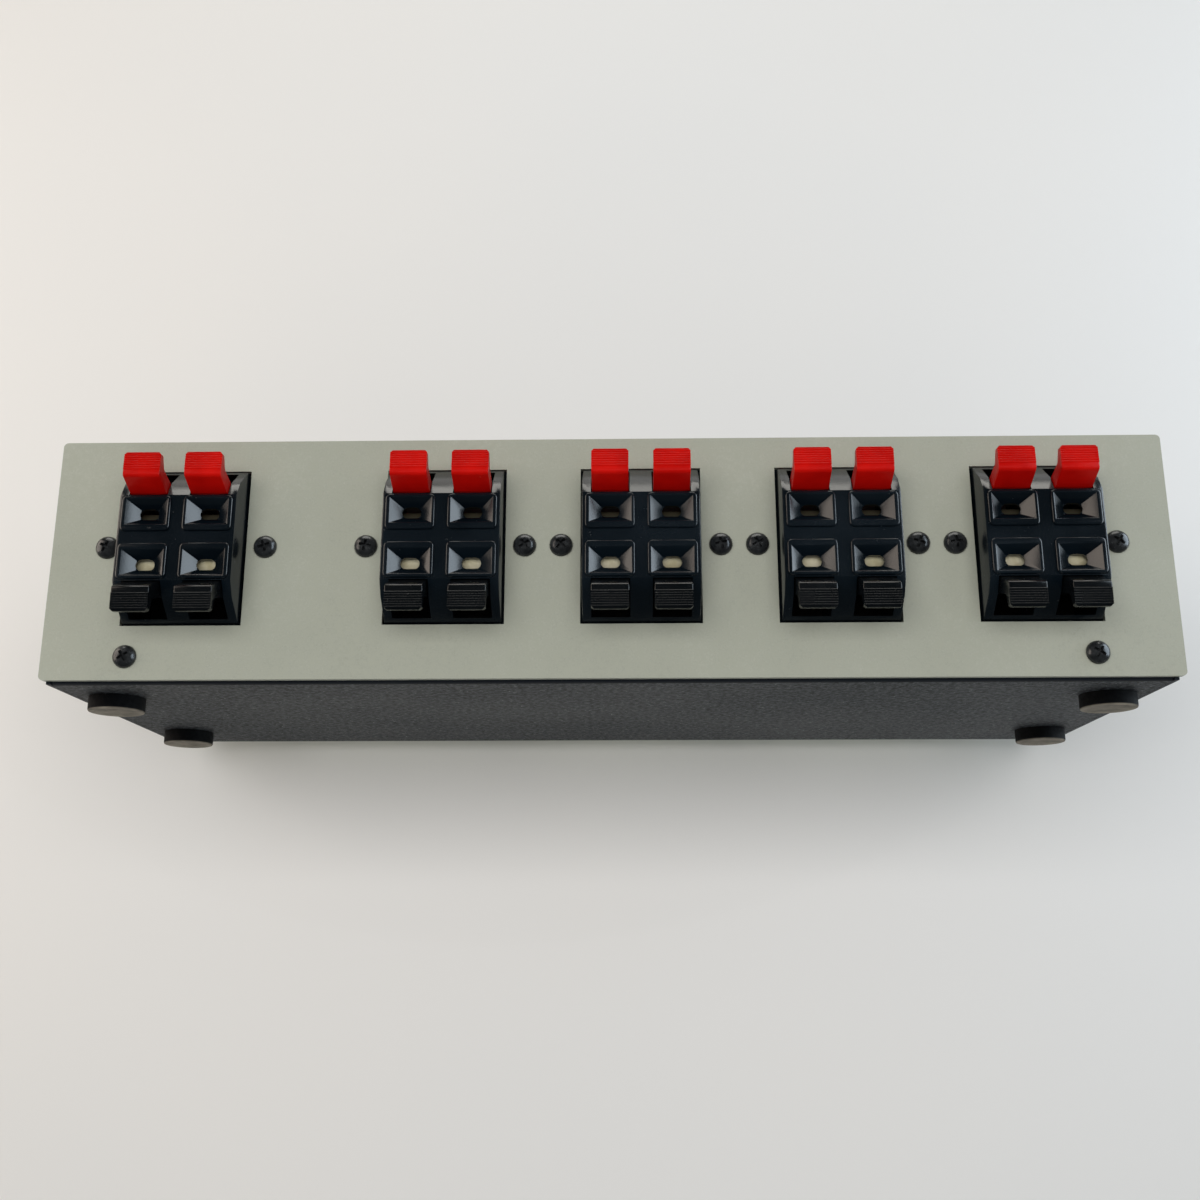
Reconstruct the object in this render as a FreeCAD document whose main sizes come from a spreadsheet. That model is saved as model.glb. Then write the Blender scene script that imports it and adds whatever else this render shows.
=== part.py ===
import FreeCAD, Part
import Sketcher
import math
import os
import re

# Speaker selector switch: a low steel case with an aluminium plate at each end.
# The rear plate carries five push terminal blocks, the front plate four rotary switches.
# X runs along the case, Y from the knobs to the terminals, Z up from the table.
# Inside this file Y = 0 is the outer face of the rear panel; RearPlane moves it into place.

vector = FreeCAD.Vector
document = FreeCAD.newDocument("SpeakerSelector")
sizes = document.addObject("Spreadsheet::Sheet", "Sizes")

dimensions = [
    # Rear panel and front plate
    ("PanelWidth", 260.0),
    ("PanelHeight", 57.8),
    ("PanelCorner", 1.1),
    ("RearPanelThick", 1.5),
    ("FrontPlateThick", 3.0),
    ("FrontPlateChamfer", 0.5),
    # Folded case
    ("CaseDepth", 90.0),
    ("CaseInset", 1.3),
    ("CaseDrop", 0.67),
    ("SheetThick", 1.0),
    ("SheetBend", 1.4),
    ("CoverBend", 2.0),
    ("SheetGap", 0.15),
    ("RearFlangeHeight", 11.0),
    ("SideFlangeHeight", 12.0),
    ("CoverLip", 3.4),
    # Feet
    ("FootDiameter", 13.2),
    ("FootThick", 3.5),
    ("FootSideInset", 9.9),
    ("FootRearInset", 18.9),
    ("FootPitch", 52.7),
    # Screws
    ("ScrewDiameter", 3.0),
    ("ScrewHeadDiameter", 5.5),
    ("ScrewHeadHeight", 1.9),
    ("ScrewHeadChamfer", 0.7),
    ("ScrewHoleGap", 0.15),
    ("CaseScrewLength", 6.0),
    ("TerminalScrewLength", 5.0),
    ("PanelScrewInset", 19.5),
    ("PanelScrewRise", 5.4),
    ("CoverScrewRise", 6.5),
    ("CoverScrewRearInset", 15.0),
    ("CoverScrewPitch", 60.0),
    # Terminal block places
    ("InputBlockX", 98.4),
    ("FirstOutputX", 37.75),
    ("OutputPitch", 45.55),
    ("BlockRise", 31.45),
    ("CutoutSideGap", 0.55),
    ("CutoutEndGap", 0.5),
    # Terminal housing
    ("BlockWidth", 27.0),
    ("FaceHeight", 20.4),
    ("FaceReach", 8.1),
    ("ShoulderHeight", 27.5),
    ("ShoulderReach", 6.0),
    ("SkirtHeight", 36.6),
    ("SkirtReach", 0.3),
    ("BlockTail", 12.0),
    ("BlockPlateSideEdge", 3.475),
    ("BlockPlateLap", 1.0),
    ("BlockPlateThick", 2.0),
    ("BlockScrewInset", 5.025),
    ("CellPitchX", 14.0),
    ("CellPitchZ", 12.1),
    ("CellWall", 1.5),
    ("FrontWall", 2.9),
    ("EndBar", 0.7),
    ("GrooveWidth", 2.9),
    ("FrameRise", 0.6),
    ("FrameSideEdge", 0.75),
    ("FrameEndEdge", 0.3),
    ("FrameCorner", 0.8),
    ("FunnelWidth", 9.8),
    ("FunnelHeight", 6.2),
    ("FunnelDepth", 2.2),
    ("FunnelInset", 2.15),
    ("CutOverrun", 1.0),
    ("ThroatWidth", 4.4),
    ("ThroatHeight", 1.85),
    # Push levers
    ("LeverWidth", 8.4),
    ("LeverSideGap", 0.25),
    ("LeverFrontGap", 0.3),
    ("PivotRise", 11.2),
    ("PivotReach", 2.0),
    ("StubDiameter", 1.2),
    ("StubLength", 1.15),
    ("RunningGap", 0.05),
    ("BarrelRadius", 1.6),
    ("LeverBaseReach", 8.3),
    ("KneeReach", 13.7),
    ("KneeRise", 2.8),
    ("TipReach", 13.5),
    ("PadLength", 5.4),
    ("PadThick", 1.6),
    ("TipSlope", 0.2),
    ("LeverArmThick", 3.2),
    ("ElbowReach", 10.6),
    ("ElbowRise", 4.7),
    ("HeelReach", 5.6),
    ("HeelThick", 1.6),
    ("TongueWidth", 3.4),
    ("TongueThick", 1.0),
    ("TongueRise", 5.3),
    ("RibPitch", 0.72),
    ("RibDepth", 0.22),
    ("RibGroove", 0.34),
    # Leaf contacts and the board that closes the block
    ("ContactThick", 0.4),
    ("ContactWidth", 6.4),
    ("ContactWallGap", 0.3),
    ("ContactTail", 5.0),
    ("LeafTopReach", 4.7),
    ("LeafEndReach", 3.3),
    ("LeafEndRise", 8.2),
    ("LeafFold", 0.6),
    ("LeafInnerReach", 0.8),
    ("LeafInnerRise", 0.64),
    ("LeafTailReach", 1.2),
    ("BoardThick", 1.2),
    ("BoardSlotGap", 0.2),
    ("BoardEdge", 0.5),
    # Rotary switches and knobs
    ("KnobPitch", 71.0),
    ("KnobDiameter", 22.0),
    ("KnobLength", 16.0),
    ("KnobGap", 1.0),
    ("KnobChamfer", 1.0),
    ("KnobRecessDiameter", 15.0),
    ("KnobRecessDepth", 4.0),
    ("KnobBoreDepth", 12.5),
    ("KnobBoreGap", 0.02),
    ("ShaftDiameter", 6.0),
    ("ShaftFlat", 1.5),
    ("ShaftEndGap", 0.5),
    ("BushingDiameter", 7.0),
    ("BushingHoleGap", 0.1),
    ("BushingReach", 2.6),
    ("SwitchSide", 24.0),
    ("SwitchDepth", 9.0),
    ("SwitchNutFlats", 10.0),
    ("SwitchNutHeight", 2.0),
    ("WaferSide", 26.0),
    ("WaferThick", 1.2),
    ("WaferCorner", 4.0),
    ("BoreFloor", 2.0),
    ("LugWidth", 2.0),
    ("LugLength", 5.0),
    ("LugThick", 0.5),
    ("LugPitch", 6.0),
    # Wiring
    ("LoomWidth", 5.0),
    ("LoomThick", 1.3),
    ("LoomBend", 14.0),
    ("LoomStep", 5.0),
    ("LoomSideStep", 10.0),
    ("BusGap", 18.0),
]

derived = {
    "CutoutWidth": "BlockWidth + 2 * CutoutSideGap",
    "CutoutHeight": "SkirtHeight + 2 * CutoutEndGap",
    "BlockScrewPitch": "BlockWidth + 2 * BlockScrewInset",
    "BlockPlateWidth": "BlockScrewPitch + 2 * BlockPlateSideEdge",
    "BlockPlateHeight": "CutoutHeight + 2 * BlockPlateLap",
    "RearPlane": "(KnobGap + KnobLength + FrontPlateThick + CaseDepth - KneeReach) / 2",
    "FrontPlane": "-CaseDepth",
    "PlateFront": "-CaseDepth - FrontPlateThick",
    "PanelBack": "-RearPanelThick",
    "CaseWidth": "PanelWidth - 2 * CaseInset",
    "TrayWidth": "CaseWidth - 2 * SheetThick - 2 * SheetGap",
    "FootSpread": "CaseWidth - 2 * FootSideInset",
    "PanelScrewSpread": "PanelWidth - 2 * PanelScrewInset",
    "PanelBase": "FootThick + CaseDrop",
    "PanelMiddle": "PanelBase + PanelHeight / 2",
    "CaseTop": "PanelBase + PanelHeight - CaseInset",
    "ScrewHole": "ScrewDiameter / 2 + ScrewHoleGap",
    "BushingHole": "BushingDiameter / 2 + BushingHoleGap",
    "ShaftHole": "ShaftDiameter / 2 + RunningGap",
    "BlockMiddle": "PanelBase + BlockRise",
    "FrameReach": "FaceReach + FrameRise",
    "CavityReach": "FaceReach - FrontWall",
    "SlotWidth": "LeverWidth + 2 * LeverSideGap",
    "SlotTop": "SkirtHeight / 2 - EndBar",
    "LeverFront": "FaceHeight / 2 + LeverFrontGap",
    "BlockBack": "-BlockTail",
    "TailFoot": "CellWall + ContactWallGap",
    "BoardBack": "-BlockTail - BoardThick",
    "LeafRun": "LeafTopReach + LeafEndReach",
    "LeafClimb": "LeafEndRise - TailFoot - LeafFold",
    "LeafLength": "sqrt(LeafRun * LeafRun + LeafClimb * LeafClimb)",
    "SwitchFront": "-CaseDepth + SheetThick",
    "WaferFront": "-CaseDepth + SheetThick + SwitchDepth",
    "WaferBack": "-CaseDepth + SheetThick + SwitchDepth + WaferThick",
}

outputCount = 4
knobCount = 4
ribCount = 5
stubSides = 8
knobSides = 20
headSides = 12
holeSides = 8
bushingSides = 12
lugCount = 3


def fillSheet():
    for row, (name, size) in enumerate(dimensions, start=1):
        sizes.set("A%d" % row, name)
        sizes.set("B%d" % row, str(size))
        sizes.setAlias("B%d" % row, name)
    document.recompute()


def formula(text):
    """The text with every size name pointed at its cell, and every derived name written out."""
    def swap(match):
        name = match.group(0)
        if name in derived:
            return "(" + formula(derived[name]) + ")"
        return "Sizes." + name
    return re.sub(r"\b[A-Z][A-Za-z]+\b", swap, text)


def number(text):
    return float(sizes.evalExpression(formula(text)))


def newBody(label):
    body = document.addObject("PartDesign::Body", label)
    body.Label = label
    return body


def originPlane(body, role):
    return [item for item in body.Origin.OriginFeatures if item.Role == role][0]


def newSketch(body, name, role, lift="0"):
    sketch = body.newObject("Sketcher::SketchObject", name)
    sketch.AttachmentSupport = [(originPlane(body, role), "")]
    sketch.MapMode = "FlatFace"
    sketch.setExpression("AttachmentOffset.Base.z", formula(lift))
    return sketch


def fixValue(sketch, constraint, text):
    index = sketch.addConstraint(constraint)
    sketch.setExpression("Constraints[%d]" % index, formula(text))


def fixPoint(sketch, element, end, across, up):
    fixValue(sketch, Sketcher.Constraint("DistanceX", -1, 1, element, end, number(across)), across)
    fixValue(sketch, Sketcher.Constraint("DistanceY", -1, 1, element, end, number(up)), up)


def drawOutline(sketch, points):
    """A closed outline of straight lines through points given as pairs of formulas."""
    places = [vector(number(across), number(up), 0) for across, up in points]
    first = sketch.GeometryCount
    count = len(points)
    for index in range(count):
        line = Part.LineSegment(places[index], places[(index + 1) % count])
        sketch.addGeometry(line, False)
    for index in range(count):
        following = first + (index + 1) % count
        sketch.addConstraint(Sketcher.Constraint("Coincident", first + index, 2, following, 1))
    for index, (across, up) in enumerate(points):
        fixPoint(sketch, first + index, 1, across, up)


def drawBox(sketch, left, bottom, right, top):
    drawOutline(sketch, [(left, bottom), (right, bottom), (right, top), (left, top)])


def drawCutBox(sketch, left, bottom, right, top, corner):
    """A rectangle with its four corners cut off at 45 degrees."""
    drawOutline(sketch, [
        ("%s + %s" % (left, corner), bottom),
        ("%s - %s" % (right, corner), bottom),
        (right, "%s + %s" % (bottom, corner)),
        (right, "%s - %s" % (top, corner)),
        ("%s - %s" % (right, corner), top),
        ("%s + %s" % (left, corner), top),
        (left, "%s - %s" % (top, corner)),
        (left, "%s + %s" % (bottom, corner)),
    ])


def ringOf(sides, radius, across="0", up="0"):
    """Corners of a regular outline, with a flat at each end of its level diameter."""
    corners = []
    for index in range(sides):
        turn = "%s deg" % (360 / sides * (index + 0.5))
        corners.append(("%s + %s * cos(%s)" % (across, radius, turn), "%s + %s * sin(%s)" % (up, radius, turn)))
    return corners


def drawCircle(sketch, across, up, radius):
    centre = vector(number(across), number(up), 0)
    circle = Part.Circle(centre, vector(0, 0, 1), number(radius))
    element = sketch.addGeometry(circle, False)
    fixPoint(sketch, element, 3, across, up)
    fixValue(sketch, Sketcher.Constraint("Radius", element, number(radius)), radius)


def drawHole(sketch, across, up):
    """The flat-sided hole that a screw's shank passes through."""
    drawOutline(sketch, ringOf(holeSides, "ScrewHole", across, up))


def drawRoundedBox(sketch, middleUp, width, height, corner):
    """A rectangle with rounded corners, centred left to right."""
    corners = [(1, -1), (1, 1), (-1, 1), (-1, -1)]
    first = sketch.GeometryCount
    ends = []
    for sideX, sideY in corners:
        edge = ("%d * %s / 2" % (sideX, width), "%s + %d * (%s / 2 - %s)" % (middleUp, sideY, height, corner))
        cap = ("%d * (%s / 2 - %s)" % (sideX, width, corner), "%s + %d * %s / 2" % (middleUp, sideY, height))
        ends.append((cap, edge) if sideX * sideY < 0 else (edge, cap))
    for index in range(4):
        start = ends[index][1]
        finish = ends[(index + 1) % 4][0]
        line = Part.LineSegment(
            vector(number(start[0]), number(start[1]), 0),
            vector(number(finish[0]), number(finish[1]), 0))
        sketch.addGeometry(line, False)
    radius = number(corner)
    for index, (sideX, sideY) in enumerate(corners):
        centre = vector(
            number("%d * (%s / 2 - %s)" % (sideX, width, corner)),
            number("%s + %d * (%s / 2 - %s)" % (middleUp, sideY, height, corner)), 0)
        opening = math.atan2(number(ends[index][0][1]) - centre.y, number(ends[index][0][0]) - centre.x)
        circle = Part.Circle(centre, vector(0, 0, 1), radius)
        sketch.addGeometry(Part.ArcOfCircle(circle, opening, opening + math.pi / 2), False)
    for index in range(4):
        line = first + index
        arc = first + 4 + index
        nextArc = first + 4 + (index + 1) % 4
        fixPoint(sketch, line, 1, *ends[index][1])
        fixPoint(sketch, line, 2, *ends[(index + 1) % 4][0])
        sketch.addConstraint(Sketcher.Constraint("Coincident", arc, 2, line, 1))
        sketch.addConstraint(Sketcher.Constraint("Coincident", line, 2, nextArc, 1))
        fixValue(sketch, Sketcher.Constraint("Radius", arc, radius), corner)


def pad(body, name, sketch, length, flipped=False, centred=False):
    feature = body.newObject("PartDesign::Pad", name)
    feature.Profile = sketch
    feature.setExpression("Length", formula(length))
    feature.Reversed = flipped
    feature.Midplane = centred
    document.recompute()
    return feature


def pocket(body, name, sketch, length, flipped=False, centred=False):
    before = body.Shape.Volume
    feature = body.newObject("PartDesign::Pocket", name)
    feature.Profile = sketch
    feature.setExpression("Length", formula(length))
    feature.Reversed = flipped
    feature.Midplane = centred
    document.recompute()
    if not body.Shape.Volume < before:
        raise ValueError("%s removes nothing from %s" % (name, body.Label))
    return feature


def revolve(body, name, sketch):
    feature = body.newObject("PartDesign::Revolution", name)
    feature.Profile = sketch
    feature.ReferenceAxis = (sketch, ["V_Axis"])
    feature.Angle = 360
    document.recompute()
    return feature


def edgesIn(feature, low, high):
    """Names of the edges that lie wholly inside a box given as two corners."""
    slack = 0.01
    box = FreeCAD.BoundBox(vector(*low), vector(*high))
    box.enlarge(slack)
    names = []
    for index, edge in enumerate(feature.Shape.Edges, start=1):
        if box.isInside(edge.BoundBox):
            names.append("Edge%d" % index)
    if not names:
        raise ValueError("no edge of %s in that box" % feature.Label)
    return names


def dress(body, name, kind, base, edges, radius):
    feature = body.newObject("PartDesign::" + kind, name)
    feature.Base = (base, edges)
    feature.setExpression("Radius" if kind == "Fillet" else "Size", formula(radius))
    document.recompute()
    return feature


def copyOf(label, master, across="0", along="0", up="0", rotation=None):
    """A placed copy of a master piece, with its place bound to the sheet."""
    link = document.addObject("App::Link", label)
    link.Label = label
    link.LinkedObject = master
    if rotation:
        link.Placement = FreeCAD.Placement(vector(0, 0, 0), rotation)
    link.setExpression("Placement.Base.x", formula(across))
    link.setExpression("Placement.Base.y", formula("RearPlane + " + along))
    link.setExpression("Placement.Base.z", formula(up))
    return link


def groupOf(label, pieces):
    group = document.addObject("Part::Compound", label)
    group.Label = label
    group.Links = pieces
    return group


def putInFrame(body):
    body.setExpression("Placement.Base.y", formula("RearPlane"))
    return body


def blockPlaces():
    """X of each terminal block: the input, then the outputs from the input's side."""
    places = ["InputBlockX"]
    for index in range(outputCount):
        places.append("(FirstOutputX - %d * OutputPitch)" % index)
    return places


def knobPlaces():
    middle = (knobCount - 1) / 2
    return ["(%s * KnobPitch)" % (middle - index) for index in range(knobCount)]


def makeChassis():
    """The folded tray: floor, front wall, low rear flange and two side flanges."""
    body = newBody("base_chassis")
    section = newSketch(body, "TraySection", "YZ_Plane")
    drawOutline(section, [
        ("FrontPlane", "FootThick"),
        ("PanelBack", "FootThick"),
        ("PanelBack", "FootThick + RearFlangeHeight"),
        ("PanelBack - SheetThick", "FootThick + RearFlangeHeight"),
        ("PanelBack - SheetThick", "FootThick + SheetThick"),
        ("FrontPlane + SheetThick", "FootThick + SheetThick"),
        ("FrontPlane + SheetThick", "CaseTop - SheetThick - SheetGap"),
        ("FrontPlane", "CaseTop - SheetThick - SheetGap"),
    ])
    tray = pad(body, "Tray", section, "TrayWidth", centred=True)
    half = number("TrayWidth / 2")
    floor = number("FootThick")
    sheet = number("SheetThick")
    front = number("FrontPlane")
    rear = number("PanelBack")
    outer = []
    for outerY in (front, rear):
        outer += edgesIn(tray, (-half, outerY, floor), (half, outerY, floor))
    outerBend = dress(body, "OuterBends", "Fillet", tray, outer, "SheetBend")
    inner = []
    for innerY in (front + sheet, rear - sheet):
        inner += edgesIn(outerBend, (-half, innerY, floor + sheet), (half, innerY, floor + sheet))
    dress(body, "InnerBends", "Fillet", outerBend, inner, "SheetBend - SheetThick")
    wallTop = number("CaseTop - SheetThick - SheetGap")
    corners = []
    for side in (-half, half):
        corners += edgesIn(body.Tip, (side, front, wallTop), (side, front + sheet, wallTop))
    dress(body, "FrontWallCorners", "Fillet", body.Tip, corners, "CoverBend")
    for name, lift in (("Left", "-TrayWidth / 2"), ("Right", "TrayWidth / 2 - SheetThick")):
        side = newSketch(body, name + "Side", "YZ_Plane", lift)
        drawBox(side, "FrontPlane + SheetBend", "FootThick + SheetThick / 2",
                "PanelBack - SheetBend", "FootThick + SideFlangeHeight")
        pad(body, name + "Flange", side, "SheetThick")
    sideHoles = newSketch(body, "SideHoles", "YZ_Plane")
    for index in range(2):
        drawHole(sideHoles, "-CoverScrewRearInset - %d * CoverScrewPitch" % index,
                 "FootThick + CoverScrewRise")
    pocket(body, "SideTappings", sideHoles, "PanelWidth", centred=True)
    rearHoles = newSketch(body, "RearHoles", "XZ_Plane", "-PanelBack")
    for side in (-1, 1):
        drawHole(rearHoles, "%d * PanelScrewSpread / 2" % side, "PanelBase + PanelScrewRise")
    pocket(body, "RearTappings", rearHoles, "SheetThick", flipped=True)
    frontHoles = newSketch(body, "FrontHoles", "XZ_Plane", "CaseDepth")
    for place in knobPlaces():
        drawOutline(frontHoles, ringOf(bushingSides, "BushingHole", place, "PanelMiddle"))
    pocket(body, "SwitchHoles", frontHoles, "SheetThick")
    return putInFrame(body)


def makeCover():
    """The folded lid: top, two sides and a lip that backs the rear panel's top edge."""
    body = newBody("top_cover")
    section = newSketch(body, "CoverSection", "XZ_Plane", "-PanelBack")
    drawOutline(section, [
        ("-CaseWidth / 2", "FootThick"),
        ("-CaseWidth / 2 + SheetThick", "FootThick"),
        ("-CaseWidth / 2 + SheetThick", "CaseTop - SheetThick"),
        ("CaseWidth / 2 - SheetThick", "CaseTop - SheetThick"),
        ("CaseWidth / 2 - SheetThick", "FootThick"),
        ("CaseWidth / 2", "FootThick"),
        ("CaseWidth / 2", "CaseTop"),
        ("-CaseWidth / 2", "CaseTop"),
    ])
    shell = pad(body, "Shell", section, "CaseDepth - RearPanelThick")
    half = number("CaseWidth / 2")
    sheet = number("SheetThick")
    top = number("CaseTop")
    front = number("FrontPlane")
    rear = number("PanelBack")
    outer = []
    for side in (-half, half):
        outer += edgesIn(shell, (side, front, top), (side, rear, top))
    outerBend = dress(body, "OuterBends", "Fillet", shell, outer, "CoverBend")
    inner = []
    for side in (-half + sheet, half - sheet):
        inner += edgesIn(outerBend, (side, front, top - sheet), (side, rear, top - sheet))
    dress(body, "InnerBends", "Fillet", outerBend, inner, "CoverBend - SheetThick")
    lip = newSketch(body, "LipOutline", "XZ_Plane", "-PanelBack")
    drawBox(lip, "-CaseWidth / 2 + 2 * CoverBend", "CaseTop - SheetThick - CoverLip",
            "CaseWidth / 2 - 2 * CoverBend", "CaseTop - SheetThick / 2")
    pad(body, "Lip", lip, "SheetThick")
    holes = newSketch(body, "SideHoles", "YZ_Plane")
    for index in range(2):
        drawHole(holes, "-CoverScrewRearInset - %d * CoverScrewPitch" % index,
                 "FootThick + CoverScrewRise")
    pocket(body, "SideScrewHoles", holes, "PanelWidth", centred=True)
    return putInFrame(body)


def makeRearPanel():
    """The plate that the terminal blocks stand through."""
    body = newBody("rear_panel")
    outline = newSketch(body, "PanelOutline", "XZ_Plane")
    drawRoundedBox(outline, "PanelMiddle", "PanelWidth", "PanelHeight", "PanelCorner")
    pad(body, "Panel", outline, "RearPanelThick")
    windows = newSketch(body, "BlockWindows", "XZ_Plane")
    holes = newSketch(body, "ScrewHoles", "XZ_Plane")
    for place in blockPlaces():
        drawBox(windows, place + " - CutoutWidth / 2", "BlockMiddle - CutoutHeight / 2",
                place + " + CutoutWidth / 2", "BlockMiddle + CutoutHeight / 2")
        for side in (-1, 1):
            drawHole(holes, "%s + %d * BlockScrewPitch / 2" % (place, side), "BlockMiddle")
    for side in (-1, 1):
        drawHole(holes, "%d * PanelScrewSpread / 2" % side, "PanelBase + PanelScrewRise")
    pocket(body, "Windows", windows, "RearPanelThick", flipped=True)
    pocket(body, "Holes", holes, "RearPanelThick", flipped=True)
    return putInFrame(body)


def makeFrontPlate():
    """The thicker plate that the knobs stand on, with a bevel round its front edge."""
    body = newBody("front_panel")
    outline = newSketch(body, "PlateOutline", "XZ_Plane", "CaseDepth")
    drawRoundedBox(outline, "PanelMiddle", "PanelWidth", "PanelHeight", "PanelCorner")
    plate = pad(body, "Plate", outline, "FrontPlateThick")
    half = number("PanelWidth / 2")
    face = number("PlateFront")
    rim = edgesIn(plate, (-half, face, number("PanelBase")), (half, face, number("PanelBase + PanelHeight")))
    dress(body, "RimBevel", "Chamfer", plate, rim, "FrontPlateChamfer")
    holes = newSketch(body, "BushingHoles", "XZ_Plane", "CaseDepth")
    for place in knobPlaces():
        drawOutline(holes, ringOf(bushingSides, "BushingHole", place, "PanelMiddle"))
    pocket(body, "Holes", holes, "FrontPlateThick", flipped=True)
    return putInFrame(body)


def makeFeet():
    master = newBody("Foot")
    section = newSketch(master, "FootSection", "XZ_Plane")
    drawOutline(section, [
        ("0", "0"),
        ("FootDiameter / 2", "0"),
        ("FootDiameter / 2", "FootThick"),
        ("0", "FootThick"),
    ])
    revolve(master, "Pad", section)
    feet = []
    for side in (-1, 1):
        for row in range(2):
            feet.append(copyOf("Foot%d" % (len(feet) + 1), master, "%d * FootSpread / 2" % side,
                               "-FootRearInset - %d * FootPitch" % row))
    return groupOf("feet", feet)


def makeScrew(name, length):
    """A pan head screw along Y, with the underside of its head at Y = 0."""
    master = newBody(name)
    rim = newSketch(master, name + "Rim", "XZ_Plane")
    drawOutline(rim, ringOf(headSides, "ScrewHeadDiameter / 2"))
    head = pad(master, name + "Head", rim, "ScrewHeadHeight", flipped=True)
    half = number("ScrewHeadDiameter / 2")
    top = number("ScrewHeadHeight")
    edge = edgesIn(head, (-half, top, -half), (half, top, half))
    dress(master, name + "RimBevel", "Chamfer", head, edge, "ScrewHeadChamfer")
    stem = newSketch(master, name + "Stem", "XZ_Plane")
    drawOutline(stem, ringOf(holeSides, "ScrewDiameter / 2"))
    pad(master, name + "Shank", stem, length)
    return master


def makeNut(name, flats, height, bore):
    """A hexagon nut along Y, from Y = 0 towards the front."""
    master = newBody(name)
    outline = newSketch(master, name + "Outline", "XZ_Plane")
    drawOutline(outline, ringOf(6, flats + " / sqrt(3)"))
    drawOutline(outline, ringOf(bushingSides, bore))
    pad(master, name + "Hexagon", outline, height)
    return master


def makeFasteners():
    caseScrew = makeScrew("CaseScrew", "CaseScrewLength")
    terminalScrew = makeScrew("TerminalScrew", "TerminalScrewLength")
    panelScrews = []
    coverScrews = []
    for side in (-1, 1):
        panelScrews.append(copyOf("PanelScrew%d" % (len(panelScrews) + 1), caseScrew,
                                  "%d * PanelScrewSpread / 2" % side, "0", "PanelBase + PanelScrewRise"))
        turned = FreeCAD.Rotation(vector(0, 0, 1), -90 * side)
        for row in range(2):
            coverScrews.append(copyOf("CoverScrew%d" % (len(coverScrews) + 1), caseScrew,
                                      "%d * CaseWidth / 2" % side,
                                      "-CoverScrewRearInset - %d * CoverScrewPitch" % row,
                                      "FootThick + CoverScrewRise", turned))
    terminalScrews = []
    for place in blockPlaces():
        for side in (-1, 1):
            across = "%s + %d * BlockScrewPitch / 2" % (place, side)
            count = len(terminalScrews) + 1
            terminalScrews.append(copyOf("BlockScrew%d" % count, terminalScrew, across, "0", "BlockMiddle"))
    return [groupOf("rear_panel_screws", panelScrews), groupOf("cover_screws", coverScrews),
            groupOf("terminal_screws", terminalScrews)]


def makeHousing():
    """The moulded terminal block: four wire funnels, four lever slots, and a mounting plate.

    Its own frame has X and Z at the block's middle and Y = 0 on the panel's outer face."""
    body = newBody("TerminalHousing")
    section = newSketch(body, "BlockSection", "YZ_Plane")
    drawOutline(section, [
        ("BlockBack", "-SkirtHeight / 2"),
        ("SkirtReach", "-SkirtHeight / 2"),
        ("ShoulderReach", "-ShoulderHeight / 2"),
        ("FaceReach", "-FaceHeight / 2"),
        ("FaceReach", "FaceHeight / 2"),
        ("ShoulderReach", "ShoulderHeight / 2"),
        ("SkirtReach", "SkirtHeight / 2"),
        ("BlockBack", "SkirtHeight / 2"),
    ])
    pad(body, "Block", section, "BlockWidth", centred=True)
    plate = newSketch(body, "PlateOutline", "XZ_Plane", "-PanelBack")
    drawBox(plate, "-BlockPlateWidth / 2", "-BlockPlateHeight / 2",
            "BlockPlateWidth / 2", "BlockPlateHeight / 2")
    pad(body, "MountingPlate", plate, "BlockPlateThick")
    screwHoles = newSketch(body, "PlateHoles", "XZ_Plane", "-PanelBack")
    for side in (-1, 1):
        drawHole(screwHoles, "%d * BlockScrewPitch / 2" % side, "0")
    pocket(body, "PlateScrewHoles", screwHoles, "BlockPlateThick", flipped=True)
    frames = newSketch(body, "FrameOutlines", "XZ_Plane", "-FaceReach")
    for sideX in (-1, 1):
        for sideZ in (-1, 1):
            nearX = "%d * GrooveWidth / 2" % sideX
            farX = "%d * (BlockWidth / 2 - FrameSideEdge)" % sideX
            nearZ = "%d * GrooveWidth / 2" % sideZ
            farZ = "%d * (FaceHeight / 2 - FrameEndEdge)" % sideZ
            drawCutBox(frames,
                       nearX if sideX > 0 else farX, nearZ if sideZ > 0 else farZ,
                       farX if sideX > 0 else nearX, farZ if sideZ > 0 else nearZ, "FrameCorner")
    pad(body, "FunnelFrames", frames, "FrameRise", flipped=True)
    for sideX in (-1, 1):
        cells = newSketch(body, "CellSection%d" % (sideX + 2), "YZ_Plane", "%d * CellPitchX / 2" % sideX)
        for sideZ in (-1, 1):
            drawOutline(cells, [
                ("BlockBack - CutOverrun", "%d * CellWall" % sideZ),
                ("CavityReach", "%d * CellWall" % sideZ),
                ("CavityReach", "%d * FaceHeight / 2" % sideZ),
                ("FrameReach + CutOverrun", "%d * FaceHeight / 2" % sideZ),
                ("FrameReach + CutOverrun", "%d * SlotTop" % sideZ),
                ("BlockBack - CutOverrun", "%d * SlotTop" % sideZ),
            ])
        pocket(body, "Cells%d" % (sideX + 2), cells, "SlotWidth", centred=True)
    for sideX in (-1, 1):
        for sideZ in (-1, 1):
            makeFunnel(body, "Funnel%d%d" % (sideX + 2, sideZ + 2),
                       "%d * CellPitchX / 2" % sideX, "%d * CellPitchZ / 2" % sideZ)
    makePivotChannels(body)
    return body


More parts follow.
